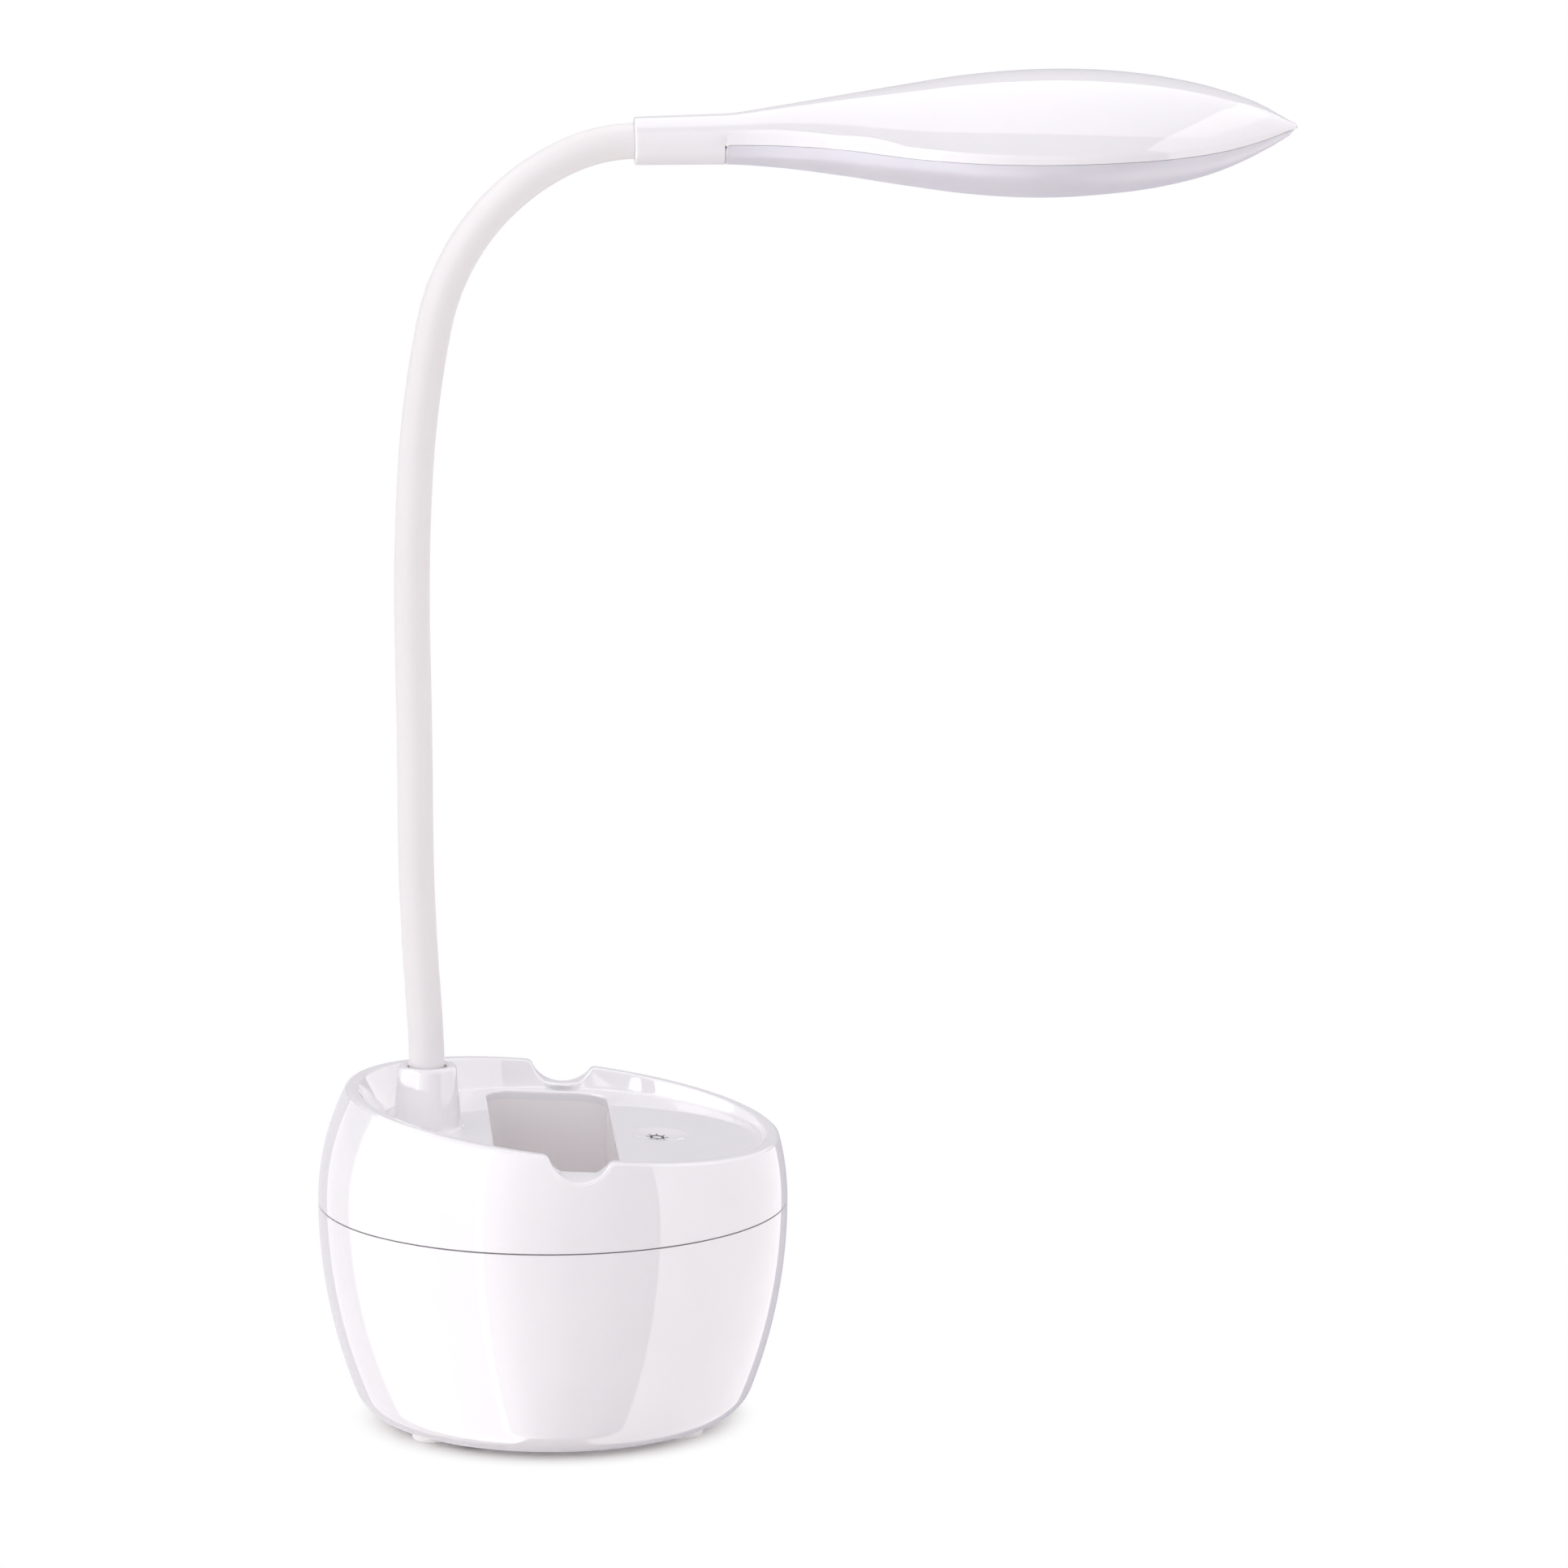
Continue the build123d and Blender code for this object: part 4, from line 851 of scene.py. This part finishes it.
def domeHalf(half, top, crease, rim, drop):
    # one side of the section, from the rim over the crease to the middle of the dome
    bandCount, domeCount = leaf["bandRows"], leaf["domeRows"]
    lean = half - leaf["lean"] * min(1, half / leaf["collarRadius"]) * min(1, (crease - rim) / leaf["band"])
    rise = max(top - crease, 0.01)
    radius = (lean ** 2 + rise ** 2) / (2 * rise)
    sweep = asin(min(1.0, lean / radius)) if rise <= lean else pi - asin(min(1.0, lean / radius))
    points = []
    for k in range(bandCount):
        share = k / bandCount
        points.append((half + (lean - half) * share, rim - drop + (crease - rim + drop) * share))
    for k in range(domeCount + 1):
        a = sweep * (1 - k / domeCount)
        points.append((radius * sin(a), top - radius * (1 - cos(a))))
    return points


def collarHalf(radius, lowLevel, creaseLevel):
    # the same points on a plain circle
    bandCount, domeCount = leaf["bandRows"], leaf["domeRows"]
    points = []
    low, crease = asin(lowLevel / radius), asin(creaseLevel / radius)
    for k in range(bandCount):
        a = low + (crease - low) * k / bandCount
        points.append((radius * cos(a), radius * sin(a)))
    for k in range(domeCount + 1):
        a = crease + (pi / 2 - crease) * k / domeCount
        points.append((radius * cos(a), radius * sin(a)))
    return points


def wholeSection(half):
    # mirrors one side to make rim to rim
    return [(-y, v) for y, v in half] + [(y, v) for y, v in reversed(half[:-1])]


def aboveMouth(vertex):
    # height over the neck's line, in millimetres
    return (vertex.co / mm - mouth).dot(headUp)


def mouthAngle(vertex):
    return atan2(aboveMouth(vertex), vertex.co.y / mm)


def buildHeadShell():
    s = leaf
    bm = bmesh.new()
    half, top, crease, rim = leafSizes(0)
    rows = []
    collarRows = []
    stops = [(s["collarRound"] * (1 - cos(a)), s["collarRound"] * (1 - sin(a)))
             for a in quarterTurn(s["collarRoundRows"])]
    stops += [(s["collarLength"] * k / s["collarRows"], 0.0) for k in range(1, s["collarRows"] + 1)]
    for u, shrink in stops:
        radius = s["collarRadius"] + (s["collarEnd"] - s["collarRadius"]) * u / s["collarLength"] - shrink
        section = wholeSection(collarHalf(radius, rim, crease))
        rows.append(addRow(bm, [headPoint(u, y, v) for y, v in section]))
        low = asin(rim / radius)
        turns = [low + (-pi - 2 * low) * k / s["underRows"] for k in range(s["underRows"] + 1)]
        collarRows.append(addRow(bm, [headPoint(u, radius * cos(a), radius * sin(a)) for a in turns]))
    for k in range(1, s["rows"] + 1):
        t = rowShare(k) * s["lastStation"]
        u = s["collarLength"] + t * s["length"]
        half, top, crease, rim = leafSizes(t)
        section = wholeSection(domeHalf(half, top, crease, rim, cutDrop(u)))
        rows.append(addRow(bm, [headPoint(u, y, v) for y, v in section]))
    bridgeRows(bm, rows, closed=False)
    bridgeRows(bm, collarRows, closed=False)
    tip = bm.verts.new(headPoint(s["collarLength"] + s["length"], 0, 0) * mm)
    for a, b in zip(rows[-1], rows[-1][1:]):
        bm.faces.new([a, b, tip])
    # rim's underside and inner face, so that the shell has a wall
    leafRows = rows[len(stops) - 1:]
    for side, sign in ((0, -1), (-1, 1)):
        edge = [row[side] for row in leafRows]
        inner, upper = [], []
        for vertex in edge:
            place = vertex.co / mm
            width = min(s["wall"], abs(place.y) * s["wallShare"])
            inward = place - Vector((0, sign * width, 0))
            inner.append(bm.verts.new(inward * mm))
            upper.append(bm.verts.new((inward + headUp * s["wallRise"]) * mm))
        bridgeRows(bm, [edge, inner, upper], closed=False)
    # end wall of the collar below the lens opening, and the mouth round the neck
    last = collarRows[-1]
    hub = [bm.verts.new(headPoint(s["collarLength"], s["hubShare"] * (v.co.y / mm),
                                  aboveMouth(v) * s["hubShare"]) * mm) for v in last]
    bridgeRows(bm, [last, hub], closed=False)
    bmesh.ops.remove_doubles(bm, verts=bm.verts, dist=0.002 * mm)
    mouthRing = [v for v in bm.verts if abs((v.co / mm - mouth).dot(headWay)) < 0.01]
    mouthRing.sort(key=mouthAngle)
    angles = [mouthAngle(v) for v in mouthRing]
    inner, deep = [[bm.verts.new(headPoint(u, s["mouthRadius"] * cos(a), s["mouthRadius"] * sin(a)) * mm)
                    for a in angles] for u in (0, s["mouthDepth"])]
    bridgeRows(bm, [mouthRing, inner, deep])
    return makePiece("headShell", bm, glossAbs, "head", ("head_shell",), s["sharpAngle"])


buildHeadShell()


def buildLens():
    # opal lens: half ellipses under the rim, closed at the collar's end
    s = leaf
    bm = bmesh.new()
    count = s["lensAround"]
    rows = []
    for k in range(s["rows"] + 1):
        t = rowShare(k) * s["lensLast"]
        u = s["collarLength"] + s["lensGap"] + t * (s["length"] - s["lensGap"])
        half, top, crease, rim = leafSizes(t)
        level = rim - s["lensGap"] - cutDrop(u)
        reach = half - s["lensInset"] * min(1, half / s["collarRadius"])
        depth = max(tableAt(s["lenses"], t) * s["lens"] + level, s["leastLens"])
        edge = s["lensEdge"] if k == 0 else 0.0
        bow = [((reach - edge) * -cos(pi * j / count), level - (depth - edge) * sin(pi * j / count))
               for j in range(count + 1)]
        section = [(s["lensLip"] - reach, level)] + bow + [(reach - s["lensLip"], level)]
        rows.append(addRow(bm, [headPoint(u, y, v) for y, v in section]))
    bridgeRows(bm, rows)
    bm.faces.new(rows[0])
    short, low = s["lensTip"]
    tip = bm.verts.new(headPoint(s["collarLength"] + s["length"] - short, 0, -low) * mm)
    for a, b in zip(rows[-1], rows[-1][1:] + rows[-1][:1]):
        bm.faces.new([a, b, tip])
    return makePiece("opalLens", bm, shadedOpalPolycarbonate, "head", ("diffuser",),
                     s["lensSharpAngle"])


buildLens()
print("head built")

# Finishes of the carried-over solids, by node
hiddenFinishes = {
    # zinc-plated mild steel: pale grey-blue, slightly grainy
    "Zinc-plated pressed steel": (("#A9ADB2", "#B9BDC2"), 4.0, (1.0, 0.25, 0.4), (0.3, 0.003),
                                  {"Metallic": 1.0}, ("ballast_plate", "case_screws", "board_screws",
                                                      "head_screws", "ferrule_nut")),
    # spring steel wire, oil-blued
    "Drawn spring steel": (("#6E7075", "#7C7E83"), 3.0, (0.8, 0.3, 0.42), (0.2, 0.004), {"Metallic": 1.0},
                           tuple("neck_core_" + str(n) for n in range(1, 9))),
    # brass, turned: warm yellow with fine tool marks
    "Turned brass": (("#B89A55", "#C6A963"), 3.0, (0.6, 0.22, 0.34), (0.12, 0.003), {"Metallic": 1.0},
                     ("lower_ferrule", "upper_ferrule")),
    # PVC insulation on stranded copper
    "Extruded red PVC insulation": (("#9E2A26", "#A8322C"), 6.0, (1.0, 0.4, 0.5), (0.4, 0.006), {"IOR": 1.53},
                                    ("head_lead", "neck_cable", "plus_lead", "minus_lead", "socket_lead")
                                    + tuple("neck_lead_" + str(n) for n in range(1, 9))),
    # glass-epoxy laminate under green solder mask
    "Solder-masked epoxy board": (("#0F5A32", "#146638"), 2.0, (0.8, 0.25, 0.4), (0.5, 0.01), {"IOR": 1.55},
                                  ("control_board", "socket_board")),
    # aluminium board under white solder mask
    "White-masked aluminium board": (("#E4E4E2", "#EBEBE9"), 4.0, (1.0, 0.3, 0.42), (0.5, 0.005),
                                     {"IOR": 1.5}, ("led_board",)),
    # epoxy moulding compound
    "Moulded black epoxy": (("#1B1B1D", "#242427"), 1.5, (0.5, 0.5, 0.65), (0.2, 0.01), {"IOR": 1.55},
                            ("board_chips",)),
    # phosphor-filled silicone
    "Phosphor-filled silicone": (("#E8CE62", "#EFD976"), 0.8, (0.4, 0.3, 0.42), (0.2, 0.006), {"IOR": 1.43},
                                 ("led_chips",)),
    # PVC shrink film over a steel can
    "Blue shrink film": (("#2F5F95", "#376AA2"), 9.0, (3.0, 0.2, 0.32), (2.0, 0.01), {"IOR": 1.53},
                         ("battery_cell",)),
    # nylon, moulded black
    "Moulded black nylon": (("#202022", "#29292B"), 3.0, (1.0, 0.45, 0.6), (0.5, 0.015), {"IOR": 1.53},
                            ("battery_cradle",)),
    # carbon-filled foam rubber
    "Conductive foam rubber": (("#161617", "#222224"), 0.6, (0.4, 0.75, 0.9), (0.3, 0.05), {"IOR": 1.5},
                               ("touch_pad",)),
    # nickel-plated steel shell
    "Nickel-plated folded steel": (("#BDBBB7", "#C9C7C3"), 2.0, (0.6, 0.16, 0.26), (0.2, 0.002),
                                   {"Metallic": 1.0}, ("charging_socket",)),
}


def finishNode(node, finish):
    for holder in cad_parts[node].material_slots:
        holder.material = finish


for name, (tones, feature, rough, grain, settings, nodes) in hiddenFinishes.items():
    finish = surfaceMaterial(name, tones, feature, rough, grain, settings)
    for node in nodes:
        finishNode(node, finish)
whiteNodes = {"upper_shell": glossAbs, "lower_shell": glossAbs, "head_shell": glossAbs, "pen_well": lightenedWellAbs,
              "diffuser": shadedOpalPolycarbonate}
whiteNodes.update({"neck_sleeve_" + str(n): satinSilicone for n in range(1, 9)})
whiteNodes.update({"foot_" + str(n): paleRubber for n in range(1, 5)})
for node, finish in whiteNodes.items():
    finishNode(node, finish)
print("carried-over solids finished")

# Studio: white sweep, pale room, soft lights for the form and large panels that only reflections see
studio = {
    "floorHalf": 9.0, "floorLevel": -0.02, "paper": "#F5F2EF", "shadowFrom": 38.0, "shadowTo": 53.0,
    "roomTone": "#FAF9FC", "roomLevel": 0.71, "mirrorTone": "#F2F0F8", "mirrorLevel": 1.03,
    "edgeTone": "#C4C0CE", "edgeTurn": (-0.08, 0.12),
    "behindTone": "#C8C6CC", "behindRise": (-0.03, 0.1), "behindTurn": (0.1, 0.7),
    "softLights": {
        "keyLeft": {"place": (-1.6, -2.0, 1.2), "aim": (0, 0, 0.1), "size": (1.6, 1.8), "level": 0.85,
                    "tone": "#FEFEFF"},
        "frontSoft": {"place": (0.1, -2.7, 0.4), "aim": (0, 0, 0.05), "size": (2.4, 1.3), "level": 0.85,
                      "tone": "#FDFDFF"},
        "topSoft": {"place": (0.1, 0.1, 2.4), "aim": (0.05, 0, 0), "size": (2.6, 2.2), "level": 1.02,
                    "tone": "#FFFDFC"},
    },
    # strength along each panel from its left end to its right end, seen from behind it, as (place, share)
    "panels": {
        "leftPanel": {"place": (-1.7, 0.2, -3.5), "aim": (0, 0.2, -3.5), "size": (5.0, 12.2), "level": 4.6,
                      "tone": "#FDFCFF", "slant": -0.05, "stops": ((0.0, 0.18), (0.15, 0.2), (0.3, 0.27),
                                                                    (0.34, 1.0))},
        "frontPanel": {"place": (0.0, -2.9, -3.1), "aim": (0, 0, -3.1), "size": (4.9, 13.0), "level": 4.6,
                       "tone": "#FDFBFF", "slant": 0.0, "stops": ((0.0, 1.0), (0.16, 0.8), (0.36, 0.34),
                                                                  (0.6, 0.14), (0.9, 0.0))},
        "rightPanel": {"place": (1.7, 0.68, -3.5), "aim": (0, 0.68, -3.5), "size": (4.16, 12.2), "level": 1.9,
                       "tone": "#FFFCFA", "slant": 0.0, "stops": ((0.0, 1.0), (0.5, 0.85), (1.0, 0.6))},
        "overPanel": {"place": (0.0, 0.85, 2.4), "aim": (0, 0.85, 0), "size": (5.0, 3.1), "level": 2.1,
                      "tone": "#FFFDFB", "slant": 0.0, "stops": ((0.0, 1.0), (0.5, 0.9), (1.0, 0.4))},
    },
}


def hangLight(name, light, onlyReflections):
    # a rectangular light whose level is its own brightness, told apart by the rays that may see it
    lamp = bpy.data.lights.new(name, "AREA")
    lamp.shape = "RECTANGLE"
    lamp.size, lamp.size_y = light["size"]
    lamp.energy = pi * light["size"][0] * light["size"][1] * light["level"]
    lamp.color = toLinear(light["tone"])[:3]
    if "stops" in light:
        lamp.use_nodes = True
        tree = lamp.node_tree
        glow = tree.nodes["Emission"]
        across = addNode(tree, "ShaderNodeSeparateXYZ",
                         links={0: addNode(tree, "ShaderNodeNewGeometry").outputs["Parametric"]})
        leaning = addNode(tree, "ShaderNodeMath", {"operation": "MULTIPLY_ADD", 1: light["slant"]},
                          {0: across.outputs["Y"], 2: across.outputs["X"]})
        ramp = addNode(tree, "ShaderNodeValToRGB", links={"Fac": leaning.outputs[0]})
        band = ramp.color_ramp
        while len(band.elements) < len(light["stops"]):
            band.elements.new(0.5)
        for element, (place, share) in zip(band.elements, light["stops"]):
            element.position = place
            element.color = (share, share, share, 1)
        tree.links.new(ramp.outputs["Color"], glow.inputs["Strength"])
    holder = bpy.data.objects.new(name, lamp)
    holder.location = light["place"]
    way = Vector(light["aim"]) - Vector(light["place"])
    holder.rotation_euler = way.to_track_quat("-Z", "Y").to_euler()
    holder.visible_camera = False
    holder.visible_diffuse = not onlyReflections
    holder.visible_glossy = onlyReflections
    bpy.context.scene.collection.objects.link(holder)


def buildFloor():
    s = studio
    bm = bmesh.new()
    side = s["floorHalf"]
    bm.faces.new([bm.verts.new((side * x, side * y, s["floorLevel"] * mm))
                  for x, y in ((-1, -1), (1, -1), (1, 1), (-1, 1))])
    mesh = bpy.data.meshes.new("studioFloor")
    bm.to_mesh(mesh)
    bm.free()
    floor = bpy.data.objects.new("studioFloor", mesh)
    floor.visible_glossy = False
    bpy.context.scene.collection.objects.link(floor)
    material, tree, output = newMaterial("White paper sweep")
    ray = addNode(tree, "ShaderNodeLightPath")
    paper = addNode(tree, "ShaderNodeBsdfDiffuse", {"Color": toLinear(s["paper"])})
    glow = addNode(tree, "ShaderNodeEmission", {"Color": (1, 1, 1, 1), "Strength": 1.0})
    # the sweep is burnt out to white away from the lamp, and keeps its shadow close to it
    away = addNode(tree, "ShaderNodeVectorMath", {"operation": "LENGTH"},
                   {0: addNode(tree, "ShaderNodeTexCoord").outputs["Object"]})
    burnt = addNode(tree, "ShaderNodeMapRange",
                    {"interpolation_type": "SMOOTHSTEP", "From Min": s["shadowFrom"] * mm,
                     "From Max": s["shadowTo"] * mm}, {"Value": away.outputs["Value"]})
    share = addNode(tree, "ShaderNodeMath", {"operation": "MULTIPLY"},
                    {0: ray.outputs["Is Camera Ray"], 1: burnt.outputs["Result"]})
    mix = addNode(tree, "ShaderNodeMixShader",
                  links={0: share.outputs[0], 1: paper.outputs[0], 2: glow.outputs[0]})
    tree.links.new(mix.outputs[0], output.inputs["Surface"])
    floor.data.materials.append(material)


def buildRoom():
    s = studio
    world = bpy.data.worlds.new("paleRoom")
    world.use_nodes = True
    tree = world.node_tree
    tree.nodes.clear()
    output = addNode(tree, "ShaderNodeOutputWorld")
    ray = addNode(tree, "ShaderNodeLightPath")
    room = addNode(tree, "ShaderNodeBackground",
                   {"Color": toLinear(s["roomTone"]), "Strength": s["roomLevel"]})
    heading = addNode(tree, "ShaderNodeSeparateXYZ",
                      links={0: addNode(tree, "ShaderNodeTexCoord").outputs["Generated"]})
    turns = {}
    for name, axis in (("edgeTurn", "X"), ("behindRise", "Z"), ("behindTurn", "Y")):
        turned = addNode(tree, "ShaderNodeMapRange",
                         {"interpolation_type": "SMOOTHSTEP", "From Min": s[name][0], "From Max": s[name][1]},
                         {"Value": heading.outputs[axis]})
        turns[name] = turned.outputs["Result"]
    # reflections find the room brighter on the left than on the right, which darkens the right edge
    roomTones = addNode(tree, "ShaderNodeMix", {"data_type": "RGBA", 6: toLinear(s["mirrorTone"]),
                                                7: toLinear(s["edgeTone"])}, {0: turns["edgeTurn"]})
    # behind the lamp and above its foot the room is dimmer, which the deck mirrors and the bowl doesn't
    behind = addNode(tree, "ShaderNodeMath", {"operation": "MULTIPLY"},
                     {0: turns["behindRise"], 1: turns["behindTurn"]})
    allTones = addNode(tree, "ShaderNodeMix", {"data_type": "RGBA", 7: toLinear(s["behindTone"])},
                       {0: behind.outputs[0], 6: roomTones.outputs[2]})
    mirrored = addNode(tree, "ShaderNodeBackground", {"Strength": s["mirrorLevel"]},
                       {"Color": allTones.outputs[2]})
    white = addNode(tree, "ShaderNodeBackground", {"Color": (1, 1, 1, 1), "Strength": 1.0})
    unseen = addNode(tree, "ShaderNodeMixShader",
                     links={0: ray.outputs["Is Glossy Ray"], 1: room.outputs[0], 2: mirrored.outputs[0]})
    mix = addNode(tree, "ShaderNodeMixShader",
                  links={0: ray.outputs["Is Camera Ray"], 1: unseen.outputs[0], 2: white.outputs[0]})
    tree.links.new(mix.outputs[0], output.inputs["Surface"])
    bpy.context.scene.world = world


def buildStudio():
    buildFloor()
    buildRoom()
    for name, light in studio["softLights"].items():
        hangLight(name, light, False)
    for name, light in studio["panels"].items():
        hangLight(name, light, True)


buildStudio()
bpy.context.scene.view_settings.view_transform = "Standard"
print("studio lit")

bpy.context.view_layer.update()
